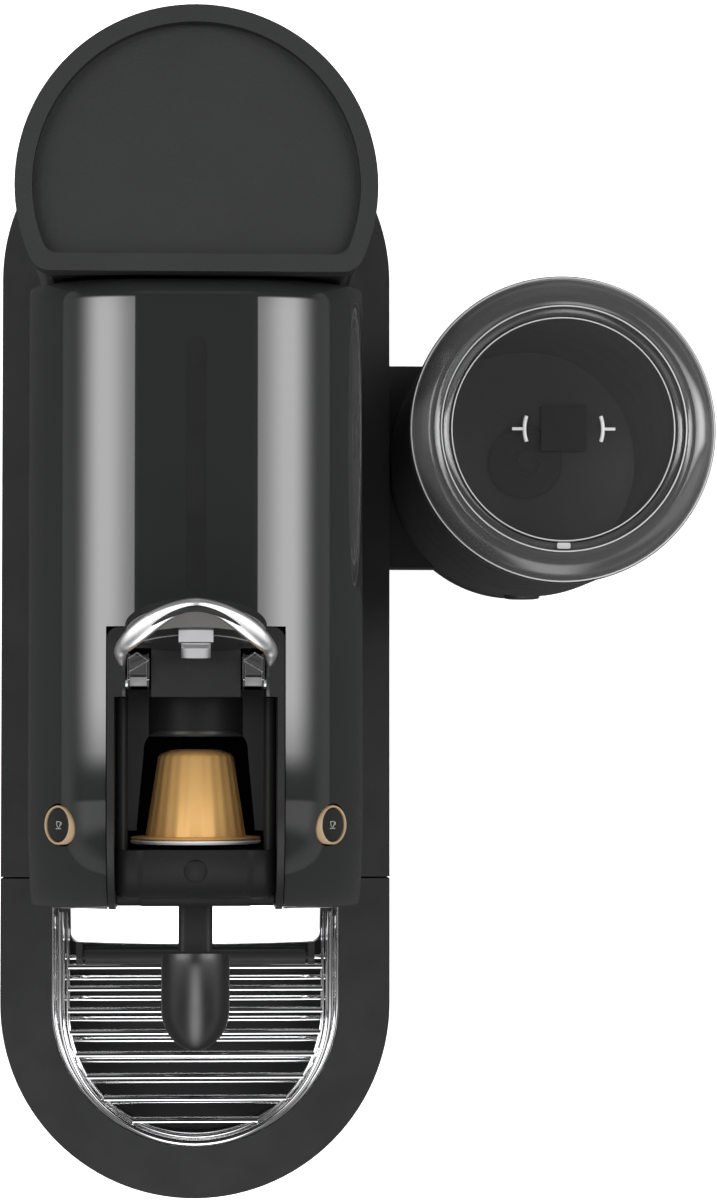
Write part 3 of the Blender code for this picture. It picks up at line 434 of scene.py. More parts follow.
def tapered_bar(start, end, start_r, end_r):
    """The outline round two circles, for an arm with a hub at one end."""
    lean = math.degrees(math.atan2(end[1] - start[1], end[0] - start[0]))
    return arc(*start, start_r, lean + 90, lean + 270) + arc(*end, end_r, lean - 90, lean + 90)


# Solids ---

PLAN = Matrix.Identity(4)  # outline in X and Y, thickness along Z
SIDE = Matrix(((0, 0, 1, 0), (1, 0, 0, 0), (0, 1, 0, 0), (0, 0, 0, 1)))  # Y and Z, along X
FRONT = Matrix(((1, 0, 0, 0), (0, 0, -1, 0), (0, 1, 0, 0), (0, 0, 0, 1)))  # X and Z, along -Y


def mesh_of(shape):
    mesh = bpy.data.meshes.new("shape")
    bmesh.ops.remove_doubles(shape, verts=shape.verts, dist=1e-6)
    bmesh.ops.recalc_face_normals(shape, faces=shape.faces)
    shape.to_mesh(mesh)
    shape.free()
    return mesh


def evaluated(obj):
    graph = bpy.context.evaluated_depsgraph_get()
    return bpy.data.meshes.new_from_object(obj.evaluated_get(graph))


def plate(loops, low, high, frame=PLAN):
    """A flat outline with its holes, from low to high along the frame's third axis."""
    curve = bpy.data.curves.new("outline", "CURVE")
    curve.dimensions = "2D"
    curve.fill_mode = "BOTH"
    curve.extrude = (high - low) / 2
    for loop in loops:
        spline = curve.splines.new("POLY")
        spline.points.add(len(loop) - 1)
        for point, (u, v) in zip(spline.points, loop):
            point.co = (u, v, 0, 1)
        spline.use_cyclic_u = True
    guide = bpy.data.objects.new("outline", curve)
    bpy.context.scene.collection.objects.link(guide)
    mesh = evaluated(guide)
    bpy.data.objects.remove(guide, do_unlink=True)
    bpy.data.curves.remove(curve)
    shape = bmesh.new()
    shape.from_mesh(mesh)
    bpy.data.meshes.remove(mesh)
    mesh = mesh_of(shape)
    mesh.transform(frame @ Matrix.Translation((0, 0, (low + high) / 2)))
    return mesh


def block(low, high):
    shape = bmesh.new()
    bmesh.ops.create_cube(shape, size=1)
    size = Vector(high) - Vector(low)
    middle = (Vector(high) + Vector(low)) / 2
    matrix = Matrix.Translation(middle) @ Matrix.Diagonal((*size, 1))
    bmesh.ops.transform(shape, verts=shape.verts, matrix=matrix)
    return mesh_of(shape)


def turned(points, segments=128, closed=False):
    """A profile in radius and height, turned round Z."""
    shape = bmesh.new()
    rows = []
    for i in range(segments):
        a = 2 * math.pi * i / segments
        rows.append([shape.verts.new((r * math.cos(a), r * math.sin(a), z)) for r, z in points])
    last = len(points) if closed else len(points) - 1
    for i in range(segments):
        here, there = rows[i], rows[(i + 1) % segments]
        for k in range(last):
            k2 = (k + 1) % len(points)
            corners = (here[k], there[k], there[k2], here[k2])
            if points[k][0] < 1e-7:
                corners = (here[k], there[k2], here[k2])
            elif points[k2][0] < 1e-7:
                corners = (here[k], there[k], here[k2])
            shape.faces.new(corners)
    return mesh_of(shape)


def loft(rows):
    """A closed skin over closed loops that all have the same number of points."""
    shape = bmesh.new()
    rails = [[shape.verts.new(point) for point in row] for row in rows]
    count = len(rails[0])
    for here, there in zip(rails, rails[1:]):
        for k in range(count):
            k2 = (k + 1) % count
            shape.faces.new((here[k], here[k2], there[k2], there[k]))
    shape.faces.new(rails[0])
    shape.faces.new(rails[-1])
    return mesh_of(shape)


def hoop(point, side, up, broad, thick, sides):
    """One ring of points across a line: an ellipse round the point."""
    angles = (2 * math.pi * k / sides for k in range(sides))
    return [point + side * broad * math.cos(a) + up * thick * math.sin(a) for a in angles]


def swept(path, radius, sides=20):
    """A round bar along a line of points."""
    path = [Vector(p) for p in path]
    rows = []
    side = None
    for i, point in enumerate(path):
        along = (path[min(i + 1, len(path) - 1)] - path[max(i - 1, 0)]).normalized()
        if side is None:
            side = along.orthogonal().normalized()
        side = (side - along * side.dot(along)).normalized()
        rows.append(hoop(point, side, along.cross(side), radius, radius, sides))
    return loft(rows)


def carve(mesh, *tools, operation="DIFFERENCE"):
    """The mesh with each tool cut from it, joined to it, or kept in common."""
    obj = bpy.data.objects.new("carved", mesh)
    bpy.context.scene.collection.objects.link(obj)
    helpers = []
    for tool in tools:
        helper = bpy.data.objects.new("tool", tool)
        bpy.context.scene.collection.objects.link(helper)
        modifier = obj.modifiers.new("cut", "BOOLEAN")
        modifier.object = helper
        modifier.operation = operation
        modifier.solver = "EXACT"
        helpers.append(helper)
    result = evaluated(obj)
    for helper in [obj] + helpers:
        bpy.data.objects.remove(helper, do_unlink=True)
    shape = bmesh.new()
    shape.from_mesh(result)
    bpy.data.meshes.remove(result)
    bmesh.ops.remove_doubles(shape, verts=shape.verts, dist=2e-6)
    bmesh.ops.dissolve_degenerate(shape, dist=2e-6, edges=shape.edges)
    return mesh_of(shape)


def merged(*meshes):
    """Several meshes as one."""
    shape = bmesh.new()
    for mesh in meshes:
        shape.from_mesh(mesh)
    result = bpy.data.meshes.new("merged")
    shape.to_mesh(result)
    shape.free()
    return result


def soften_edges(obj, width, segments, crease):
    bevel = obj.modifiers.new("soft_edges", "BEVEL")
    bevel.width = width
    bevel.segments = segments
    bevel.limit_method = "ANGLE"
    bevel.angle_limit = math.radians(crease)
    bevel.harden_normals = True
    return bevel


def show(name, mesh, finish, body, nodes=(), soft=0.0, steps=3, crease=32, frame=None):
    """Puts a piece in the scene, in the machine's own coordinates, riding on its CAD body."""
    if frame is not None:
        mesh.transform(frame)
    mesh.transform(Matrix.Translation((MIDDLE_X, 0, 0)))
    mesh.materials.clear()
    mesh.materials.append(finish)
    mesh.polygons.foreach_set("use_smooth", [True] * len(mesh.polygons))
    mesh.set_sharp_from_angle(angle=math.radians(crease))
    obj = bpy.data.objects.new(name, mesh)
    bpy.context.scene.collection.objects.link(obj)
    if soft:
        soften_edges(obj, soft, steps, crease).miter_outer = "MITER_ARC"
    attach(obj, body)
    if nodes:
        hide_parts(*nodes)
    return obj


def finish_node(name, finish):
    """A CAD node shown as it is, with a procedural finish and softened edges."""
    node = NODES[name]
    node.data.materials.clear()
    node.data.materials.append(finish)
    soften_edges(node, 0.0003, 2, 32)


# Grids and rims ---

BAR_WIDTH = 0.0019
SLOT_PITCH = 0.0069
LOWER_LIP = -0.1074  # front lip of the rearmost bar of the lower grid
CUP_LIP = -0.1057  # and of the cup support's grid
MOST_BARS = 8
RIM_STEP = 0.006  # longest straight piece of a rim


def cross_bar(lip, width, reach, low, high):
    """One bar of a grid, from its bright front lip back: the front edge is well rounded."""
    round_front = 0.0007
    round_back = 0.0003
    back = lip + width
    section = [(back - round_back, high), (back, high - round_back), (back, low), (lip, low)]
    section.append((lip, high - round_front))
    section += arc(lip + round_front, high - round_front, round_front, 180, 90, 0.12)[1:]
    return loft([[(x, y, z) for y, z in section] for x in np.linspace(-reach, reach, 3)])


def grid_bars(radius, centre, first, last, low, high):
    """The bars between the slots, each as long as the round-fronted outline is wide there."""
    bars = []
    for i in range(MOST_BARS):
        lip = first - i * SLOT_PITCH
        if lip < last:
            break
        reach = math.sqrt(radius**2 - min(0, lip + BAR_WIDTH / 2 - centre) ** 2)
        bars.append(cross_bar(lip, BAR_WIDTH, reach, low, high))
    return bars


def rim_tube(radius, centre, back, level, thick):
    """A round-fronted rim, from its right back end round to its left one."""
    path = [(radius, back)] + arc(0, centre, radius, 360, 180) + [(-radius, back)]
    spread = []
    for (x0, y0), (x1, y1) in zip(path, path[1:]):
        steps = max(1, round(math.hypot(x1 - x0, y1 - y0) / RIM_STEP))
        spread += [(x0 + (x1 - x0) * k / steps, y0 + (y1 - y0) * k / steps, level) for k in range(steps)]
    spread.append((*path[-1], level))
    return swept(spread, thick, 24)


def double_rim(radius, centre, back, top, thick, inset, share):
    """A rim and a finer one inside it; the inset is in radii of the first one's tube."""
    level = top - thick
    inner = rim_tube(radius - inset * thick, centre, back, level, thick * share)
    return merged(rim_tube(radius - thick, centre, back, level, thick), inner)


# Base and drip drawer ---

WELL_CENTRE = GRID_LOW.y + GRID_HIGH.x
HINGE_Y = -0.1014  # the cup support's pin
BRIDGE_SLOPE = math.radians(24)
TUBE_R, TRIM_TUBE_R = 0.0011, 0.00075


def make_base():
    base = plate([rear_d(BASE_R, BASE_CENTRE, BASE_LOW.y)], BASE_LOW.z, BASE_HIGH.z)
    show("base_housing", base, BASE_FINISH, "machine", ["rear_base"], soft=0.0011, steps=4)
    well_r, well_back = GRID_HIGH.x + 0.0003, GRID_HIGH.y + 0.0006
    ledge = well_r - 0.0025
    tray = plate([front_d(BASE_R, -BASE_CENTRE, TRAY_HIGH.y)], TRAY_LOW.z, TRAY_HIGH.z)
    tray = carve(
        tray,
        plate([front_d(well_r, WELL_CENTRE, well_back)], GRID_LOW.z - 0.0003, 0.05),
        plate([front_d(ledge, WELL_CENTRE, well_back - 0.002)], 0.006, 0.03),
    )
    show("drip_tray_housing", tray, BASE_FINISH, "drip_drawer", ["drip_tray"], soft=0.0009,
         steps=4)


def make_lower_grid():
    radius = GRID_HIGH.x
    low, high = GRID_LOW.z, GRID_HIGH.z
    bars = grid_bars(radius - TUBE_R, WELL_CENTRE, LOWER_LIP, GRID_LOW.y + 0.006, low, high)
    rims = double_rim(radius, WELL_CENTRE, GRID_HIGH.y, high, TUBE_R, 2.6, 0.45)
    show("lower_grid_plate", merged(*bars, rims), CHROME, "drip_drawer", ["lower_grid"],
         crease=50)
    trim = double_rim(TRIM_HIGH.x, WELL_CENTRE, TRAY_HIGH.y - 0.0010, TRIM_HIGH.z, TRIM_TUBE_R, 2.9, 0.5)
    show("drip_trim_band", trim, CHROME, "drip_drawer", ["drip_trim"], crease=60)


def make_bin_cover():
    """The chrome front of the used-pod bin: its top slopes forward, and its ends turn back a little."""
    low, top = COVER_LOW.z, COVER_HIGH.z - 0.0002
    half = COVER_HIGH.x - 0.0004
    front, back = -0.098, COVER_HIGH.y
    fade, fade_drop = 0.0060, 0.0004
    corner, corner_bow, middle_bow = 0.0026, 0.0022, 0.0009
    lip = 0.0016
    slope = math.tan(BRIDGE_SLOPE)
    rows = []
    for x in np.linspace(-half, half, 119):
        end = max(0.0, abs(x) - half + corner) / corner
        bow = middle_bow * (x / half) ** 2 + corner_bow * (1 - math.sqrt(max(0.0, 1 - end**2)))
        near = front + bow
        height = top - fade_drop * (max(0.0, abs(x) - half + fade) / fade) ** 2
        inside = near + 0.0022
        stops = (back - 0.0006, back - 0.0010, near + 0.0021, near + lip)
        fall = [(y, height - (back - y) * slope) for y in stops]
        nose = fall[-1][1]
        outline = [(near, low), (inside, low), (inside, nose - 0.0035), (back, height - 0.0045)]
        outline += [(back, height - 0.0012), (back - 0.0002, height - 0.0005)] + fall
        outline += arc(near + lip, nose - lip, lip, 90, 180, 0.2)[1:]
        outline += [(near, nose - 0.0022)]
        rows.append([(x, y, z) for y, z in outline])
    lugs = []
    for x in (-0.0365, 0.0365):
        bar = tapered_bar((-0.0965, 0.106), (HINGE_Y, 0.106), 0.003, 0.0028)
        lugs.append(plate([bar], x - 0.001, x + 0.001, SIDE))
    show("bin_front", loft(rows), CHROME, "drip_drawer", ["bin_cover"], crease=45)
    show("bin_front_lugs", merged(*lugs), MATTE, "drip_drawer", soft=0.0003)


def make_cup_support():
    radius, centre = CUP_HIGH.x, CUP_LOW.y + CUP_HIGH.x
    tail, web_front = -0.0876, -0.1050
    low, high = CUP_GRID_LOW.z - 0.0005, CUP_GRID_HIGH.z + 0.0005
    middle = (low + high) / 2
    inset = 2.8
    ring = double_rim(radius, centre, tail, high, TUBE_R, inset, 0.5)
    show("cup_ring", ring, CHROME, "cup_support", ["cup_frame"], crease=60)
    half, barrel_r, web = 0.0348, 0.0028, 0.0009
    barrel = turned([(0, -half), (barrel_r, -half), (barrel_r, half), (0, half)], 32)
    along_x = Matrix.Rotation(math.radians(90), 4, "Y")
    barrel.transform(Matrix.Translation((0, HINGE_Y, middle)) @ along_x)
    web_plate = block((-half, web_front, middle - web), (half, HINGE_Y, middle + web))
    show("cup_hinge", merged(barrel, web_plate), MATTE, "cup_support", soft=0.0003)
    inner_r = radius - inset * TUBE_R
    bars = grid_bars(inner_r, centre, CUP_LIP, CUP_LOW.y + 0.006, CUP_GRID_LOW.z, CUP_GRID_HIGH.z)
    show("cup_grid_plate", merged(*bars), CHROME, "cup_support", ["cup_grid"], crease=50)


def make_outlet():
    """A hood that is round from side to side and falls towards its tip, on a square neck."""
    radius = HOOD_HIGH.x
    back, tip, top = HOOD_HIGH.y, HOOD_LOW.y, HOOD_HIGH.z
    stretch = radius * 1.2  # how far back from the tip the hood narrows
    drop, nose_drop = 0.0110, 0.0030
    lean_back, lean_reach = 0.075, 0.004
    rows = []
    for k in range(49):
        y = back + (tip - back) * math.sin(k / 48 * math.pi / 2)
        inside = max(0.0, 1 - max(0.0, (tip + stretch - y) / stretch) ** 2)
        narrowing = 1 - math.sqrt(inside)
        reach = max(0.0002, radius * math.sqrt(inside))
        fall = max(0.0, (back - 0.002 - y) / (back - tip))
        crown = top - 0.0004 - drop * fall**1.3 - nose_drop * narrowing
        low = HOOD_LOW.z + 0.0012 * narrowing
        shoulder = min(0.0090, reach * 0.9)
        section = [(-reach * 0.97, low), (reach * 0.97, low), (reach, low + 0.0006)]
        for a in range(0, 181, 6):
            across, up = math.cos(math.radians(a)), math.sin(math.radians(a))
            section.append((reach * across, crown - shoulder + shoulder * up))
        section.append((-reach, low + 0.0006))
        lean = lean_back * max(0.0, 1 - (back - y) / lean_reach)
        rows.append([(x, y - lean * (top - z), z) for x, z in section])
    hood = loft(rows)
    inner = radius - 0.0018
    pocket = [(inner, back - 0.002), (-inner, back - 0.002)] + arc(0, tip + radius, inner, 180, 360)
    hood = carve(hood, plate([pocket], HOOD_LOW.z - 0.01, top - 0.0150))
    show("outlet_cap", hood, HOOD_FINISH, "machine", ["outlet_hood"], crease=50)
    half = NECK_HIGH.x
    level = (NECK_LOW.z + NECK_HIGH.z) / 2
    square = rounded(-half, level - half, half, level + half, 0.002)
    neck = plate([square], -NECK_HIGH.y, -NECK_LOW.y, FRONT)
    show("outlet_stem", neck, MATTE, "machine", ["outlet_neck"], soft=0.0003)


# Housing ---

FRONT_R = 0.032
REAR_R = 0.006
EDGE_R = 0.0339
BUTTON_Y = -0.057
BUTTON_SEAT_R = 0.0059
GAP = 0.0003  # between the housing and what stands in it


def housing(inset, low):
    """The housing's skin: a rounded section whose top follows the rounded front and rear."""
    half, edge = SHELL_HALF - inset, EDGE_R - inset
    front, rear, top = SHELL_LOW.y + inset, SHELL_HIGH.y - inset, SHELL_HIGH.z - inset
    front_r, rear_r = FRONT_R - inset, REAR_R - inset
    line = arc(front + front_r, top - front_r, front_r, 180, 90)
    line += [(y, top) for y in np.linspace(front + front_r, rear - rear_r, 12)[1:-1]]
    line += arc(rear - rear_r, top - rear_r, rear_r, 90, 0, 0.15)
    rows = []
    flat = half - edge
    for y, height in line:
        section = [(-half, low), (half, low)]
        section += arc(flat, height - edge, edge, 0, 90) + arc(-flat, height - edge, edge, 90, 180)
        rows.append([(x, y, z) for x, z in section])
    return loft(rows)


def button_frame(side):
    """A matrix whose +Z is the way that a button faces, at the middle of its cap."""
    out = Vector((0.733 * side, 0, 0.680)).normalized()
    middle = Vector(((SHELL_HALF - EDGE_R) * side, BUTTON_Y, SHELL_HIGH.z - EDGE_R))
    turn_to = out.to_track_quat("Z", "Y").to_matrix().to_4x4()
    return Matrix.Translation(middle + out * EDGE_R) @ turn_to


def make_shell():
    half, bin_half = HEAD_HALF + GAP, COVER_HIGH.x + GAP
    wall, front = 0.0025, -0.1
    holes = []
    for side in (-1, 1):
        hole = plate([circle(0, 0, BUTTON_SEAT_R)], -0.01, 0.01)
        hole.transform(button_frame(side))
        holes.append(hole)
    shell = carve(
        housing(0, SHELL_LOW.z),
        housing(wall, 0.02),
        block((-half, front, 0.1), (half, HEAD_HIGH.y + GAP, ABOVE_ALL)),
        block((-bin_half, front, 0.03), (bin_half, -0.06, HEAD_LOW.z - GAP)),
        *holes,
    )
    show("housing_shell", shell, GLOSS, "machine", ["shell"], soft=0.0005, crease=40)


def make_boom_reflection_strip():
    """A dark strip painted along the middle of the glossy housing's top, with a fine line on to the lever:
    a painted reflection of the camera's boom arm.
    """
    half, stem = 0.0025, 0.00025
    near, far, lever = 0.0069, 0.0769, -0.0010
    outline = arc(0, far - half, half, 0, 180) + [(-half, near + half)]
    outline += arc(0, near + half, half, 180, 264, 0.15)
    outline += [(-stem, near), (-stem, lever), (stem, lever), (stem, near)]
    outline += arc(0, near + half, half, 276, 360, 0.15)
    strip = plate([outline], SHELL_HIGH.z - 0.0008, SHELL_HIGH.z + 0.00012)
    # painted reflection: the dark strip stands where the glossy top mirrors the camera's boom arm
    show("housing_boom_reflection", strip, INK, "machine", soft=0.00008)


# Brew head ---

TROUGH_HALF, TROUGH_FLOOR = 0.0224, 0.236  # the lever's trough in the top of the head
TROUGH_REAR = -0.0218
NOSE_BACK, NOSE_FRONT = -0.0642, -0.0782
SLOT_HALF = TROUGH_HALF - 0.0005
LANE_FRONT, LANE_REAR = -0.0755, 0.01  # the lane that the pod's cage slides in
CAGE_LANE_R = 0.0172
ARM_INNER = 0.0122  # inner side of the room for a lever's arm
HALF_ARCH = [(0.0165, -0.0605), (0.0165, -0.0575), (0.0146, -0.0372)]
HALF_ARCH += arc(0.0096, -0.0361, 0.0050, 0, 90, 0.15)
POD_ARCH = both_halves(HALF_ARCH)  # the pod's slot from above


def head_block():
    """The head's outer shape: its front falls with the housing's."""
    low = HEAD_LOW.z
    top, fillet = SHELL_HIGH.z - 0.0006, FRONT_R - 0.0006
    side_view = [(SHELL_LOW.y, low), (HEAD_HIGH.y, low), (HEAD_HIGH.y, top)]
    side_view += arc(SHELL_LOW.y + fillet, top - fillet, fillet, 90, 180)
    plan = rounded(-HEAD_HALF, SHELL_LOW.y - 0.01, HEAD_HALF, HEAD_HIGH.y, 0.003)
    side_plate = plate([side_view], -HEAD_HALF, HEAD_HALF, SIDE)
    return carve(side_plate, plate([plan], low - 0.01, ABOVE_ALL), operation="INTERSECT")


def make_head_shroud():
    trough, slot = TROUGH_HALF, SLOT_HALF
    rim_half, rim_rear = 0.0198, -0.0589
    lane = [(0, LANE_FRONT), (CAGE_LANE_R, LANE_FRONT), (CAGE_LANE_R, LANE_REAR), (0, LANE_REAR)]
    lane = turned(lane, 96)
    lane.transform(Matrix.Translation((0, 0, BREW_Z)) @ FACING_FRONT.inverted())
    cover = carve(
        head_block(),
        block((-trough, -0.0790, TROUGH_FLOOR), (trough, TROUGH_REAR, ABOVE_ALL)),
        block((-trough, -0.1, 0.121), (trough, NOSE_BACK + 0.0002, ABOVE_ALL)),
        block((-slot, LANE_FRONT, 0.1), (slot, LANE_REAR, 0.233)),
        block((-slot, -0.0195, 0.22), (slot, LANE_REAR, 0.246)),
        block((-slot, -0.0195, 0.24), (slot, -0.0055, 0.259)),
        lane,
        plate([POD_ARCH], 0.22, 0.26),
        block((-rim_half, NOSE_BACK, 0.2140), (rim_half, rim_rear, 0.26)),
    )
    rooms = []
    for side in (-1, 1):
        inner, outer = sorted((ARM_INNER * side, slot * side))
        inner_roof, outer_roof = sorted((ARM_INNER * side, 0.0202 * side))
        rooms.append(block((inner, -0.0290, TROUGH_FLOOR), (outer, -0.0055, 0.259)))
        low_corner = (inner_roof, -0.0225, TROUGH_FLOOR + 0.0002)
        rooms.append(block(low_corner, (outer_roof, -0.0085, ABOVE_ALL)))
    cover = carve(cover, *rooms)
    show("head_shroud", cover, MATTE, "machine", ["head_cover"], soft=0.0007, crease=40)


def make_head_nose():
    """The rounded front between the rails, with a tongue down its middle over the outlet's neck."""
    roll, groove = 0.0036, 0.0005
    shoulder = 0.232
    low, inner = 0.1215, 0.0060
    rows = []
    for k in range(57):
        x = TROUGH_HALF * math.cos(math.pi * k / 56)
        over = max(0.0, abs(x) - (TROUGH_HALF - roll))
        inset = roll - math.sqrt(max(0.0, roll**2 - over**2)) + groove * (abs(x) < 0.0158)
        reach = NOSE_BACK - NOSE_FRONT - inset
        line = [(NOSE_BACK, 0.2260), (NOSE_BACK, shoulder + reach)]
        line += arc(NOSE_BACK, shoulder, reach, 90, 180)[1:]
        line += [(NOSE_FRONT + inset, low), (NOSE_FRONT + inner, low), (NOSE_FRONT + inner, 0.2260)]
        rows.append([(x, y, z) for y, z in line])
    pieces = [carve(loft(rows), block((-0.0053, -0.09, 0.1847), (0.0053, -0.07, 0.1953)))]
    root, foot = NOSE_FRONT + 0.0007, HEAD_LOW.z + 0.0002
    tip, brow = SHELL_LOW.y + 0.0004, 0.2200
    for half, back, down in ((0.0155, 0.0, 0.0), (0.0222, 0.0001, 0.001)):
        reach = root - tip - back
        wall = [(root, foot)] + arc(root, brow - down, reach, 90, 180, 0.15) + [(tip + back, foot)]
        pieces.append(plate([wall], -half, half, SIDE))
    show("head_nose", merged(*pieces), INSERT, "machine", crease=35)


def make_head_insert():
    """The rails beside the trough, the hump over the cage's lane and the round screw cover."""
    rail_r = 0.0017
    ribs = []
    for side in (-1, 1):
        rib = [(TROUGH_HALF * side, TROUGH_FLOOR - 0.0005), (0.0190 * side, TROUGH_FLOOR - 0.0005)]
        rib += [(x * side, z) for x, z in reversed(arc(0.0207, 0.2384, rail_r, 0, 180, 0.2))]
        ribs.append(plate([rib], -TROUGH_REAR, -NOSE_BACK + 0.0004, FRONT))
    crown = arc(0, BREW_Z, 0.0178, 42, 138) + arc(0, BREW_Z, CAGE_LANE_R, 138, 42)
    hump = carve(plate([crown], -TROUGH_REAR, 0.045, FRONT), plate([POD_ARCH], 0.22, 0.26))
    show("head_insert", merged(hump, *ribs), INSERT, "machine", soft=0.0003, crease=35)
    screw = turned([(0, 0.0), (0.0024, 0.0), (0.0033, -0.0004), (0.00355, -0.0012), (0, -0.0012)], 48)
    lean = Matrix.Rotation(math.radians(24), 4, "X")
    screw.transform(Matrix.Translation((0, -0.0703, 0.2446)) @ lean)
    show("screw_cap", screw, INSERT, "machine", soft=0.0002)


# Buttons ---

CUP_WALL = [(-0.0008, 0.0009), (-0.0006, -0.0002), (-0.0003, -0.0006), (0.0003, -0.0006)]
CUP_WALL += [(0.0006, -0.0002), (0.0008, 0.0009), (0.0, 0.0009), (-0.0008, 0.0009)]
CUP_HANDLE = arc(0.0008, 0.0004, 0.0004, 90, -80, 0.2)
CUP_SAUCER = [(-0.0011, -0.0010), (0, -0.0010), (0.0011, -0.0010)]
RING_PROFILE = [(0.0048, -0.005), (0.0048, -0.0001), (0.0050, 0.0002), (0.0052, 0.0002)]
RING_PROFILE += [(0.0054, -0.0002), (0.0054, -0.005)]
CAP_PROFILE = [(0, -0.0005), (0.0030, -0.0004), (0.0042, -0.0002), (0.0046, -0.0004), (0.0046, -0.005)]
CAP_PROFILE += [(0, -0.005)]


def facing_up(place):
    """The turn about its own axis that sets a mark upright to someone looking down from the front."""
    back = place.to_3x3().inverted() @ Vector((0, 1, 0))
    return Matrix.Rotation(math.atan2(back.y, back.x) - math.pi / 2, 4, "Z")


def make_buttons():
    """A lit ring, a dished cap and a plain cup outline on each side."""
    for name, side in (("left", -1), ("right", 1)):
        at_button = button_frame(side)
        ring = turned(RING_PROFILE, 64, closed=True)
        show(f"light_ring_{name}", ring, GLOW, "machine", [f"button_ring_{name}"],
             frame=at_button)
        body = f"{name}_button"
        cap = turned(CAP_PROFILE, 64)
        show(f"{body}_cap", cap, MATTE, body, [f"button_{name}"], frame=at_button)
        lines = (CUP_WALL, CUP_HANDLE, CUP_SAUCER)
        mark = merged(*(swept([(x, y, -0.0004) for x, y in line], 0.00011, 8) for line in lines))
        mark.transform(facing_up(at_button))
        show(f"{body}_mark", mark, ICON, body, frame=at_button)


# Pod and its cage ---

FLUTES = 24
FLUTE_DEPTH = 0.030  # as a share of the pod's radius
FLUTED_FROM, FLUTED_TO = 0.0104, 0.0120


def make_pod():
    mouth = POD_LOW.y
    rim_r = POD_HIGH.x
    outer = [(0.0, -0.0254), (0.0052, -0.0254), (0.0070, -0.0252), (0.0098, -0.0242)]
    outer += [(0.0108, -0.0232), (0.0142, -0.0009), (rim_r - 0.0006, -0.0008)]
    outer += [(rim_r, -0.0004), (rim_r - 0.0006, 0.0), (0, 0.0)]
    pod = turned(outer, 144)
    for vertex in pod.vertices:
        if FLUTED_FROM < math.hypot(vertex.co.x, vertex.co.y) < FLUTED_TO:
            angle = math.atan2(vertex.co.y, vertex.co.x)
            fluting = 1 - FLUTE_DEPTH * (0.5 + 0.5 * math.cos(angle * FLUTES))
            vertex.co.x *= fluting
            vertex.co.y *= fluting
    at_mouth = Matrix.Translation((0, mouth, BREW_Z)) @ FACING_FRONT
    show("pod", pod, GOLD, "machine", ["pod_cup"], frame=at_mouth, crease=60)
    lid = turned([(0, -0.0002), (0.0183, -0.0002), (0.0185, 0.0002), (0.0180, 0.0008), (0, 0.0008)], 96)
    before_mouth = Matrix.Translation((0, mouth - 0.0004, BREW_Z)) @ FACING_FRONT
    show("pod_lid", lid, FOIL, "machine", ["pod_foil"], frame=before_mouth)


def make_cage():
    """The sleeve that closes over the pod as the lever comes down."""
    depth, rounding = 0.0290, 0.0006
    radius = CAGE_HIGH.x
    length = CAGE_HIGH.y - CAGE_LOW.y
    sleeve = [(0, -depth), (0.0122, -depth), (0.0148, -rounding), (0.0153, 0), (radius - rounding, 0)]
    sleeve += [(radius, -rounding), (radius, -length + 0.001), (radius - 0.001, -length), (0, -length)]
    place = Matrix.Translation((0, CAGE_LOW.y, BREW_Z)) @ FACING_FRONT
    show("cage_sleeve", turned(sleeve, 96), DARK_STEEL, "pod_cage", ["capsule_cage"],
         frame=place)


# Lever ---

LEVER_LEAN = math.radians(21.3)
PANEL_TILT = Matrix.Rotation(math.radians(90) - LEVER_LEAN, 4, "X")
PANEL_PLANE = Matrix.Translation((0, PIVOT.y, PIVOT.z)) @ PANEL_TILT
HANDLE_CENTRE = 0.0358  # of the panel's round top, from the pivot
HANDLE_R = 0.0198
HANDLE_HALF = 0.0201
HANDLE_END = 100  # degrees from the handle's crown to each of its ends
STRIPE_END = 36


def handle_point(turn):
    """The handle's middle line at an angle from its crown, in the machine's own coordinates."""
    way = math.copysign(1, turn)
    turn = abs(turn)
    x = HANDLE_HALF * math.sin(math.radians(turn))
    late = max(0.0, (turn - 74) / 26)
    y = PIVOT.y + 0.0193 - 0.0116 * (x / HANDLE_HALF) ** 1.75 - 0.0046 * late**2
    z = PIVOT.z + 0.0518 - 0.0125 * (turn / HANDLE_END) ** 1.4
    return Vector((way * x, y, z))


def make_handle():
    """A bail whose ends sweep forward, broad at the shoulders and pointed at the ends."""
    rows = []
    for turn in np.linspace(-HANDLE_END, HANDLE_END, 81):
        point = handle_point(turn)
        along = (handle_point(turn + 0.5) - handle_point(turn - 0.5)).normalized()
        side = Vector((0, 0, 1)).cross(along).normalized()
        up = along.cross(side)
        u = abs(turn) / HANDLE_END
        end = min(1.0, (1.0 - u) * 7 + 0.10) ** 0.6
        broad = (0.0018 + 0.0009 * math.sin(math.pi * min(1.0, u * 1.1)) ** 2) * end
        thick = 0.0014 * end
        rows.append(hoop(point, side, up, broad, thick, 28))
    show("lever_arch", loft(rows), LEVER_CHROME, "lever", ["lever_handle"], crease=60)


def make_stripe():
    """The dark line along the front of the handle's crown."""
    rows = []
    for turn in np.linspace(-STRIPE_END, STRIPE_END, 25):
        point = handle_point(turn) + Vector((0, -0.0010, 0.0010))
        width = 0.0012 * math.sqrt(max(0.02, 1 - (turn / STRIPE_END) ** 2))
        rows.append(hoop(point, Vector((0, 1, 0)), Vector((0, 0, 1)), width * 0.8, 0.0006, 16))
    show("lever_stripe", loft(rows), MATTE, "lever", crease=60)


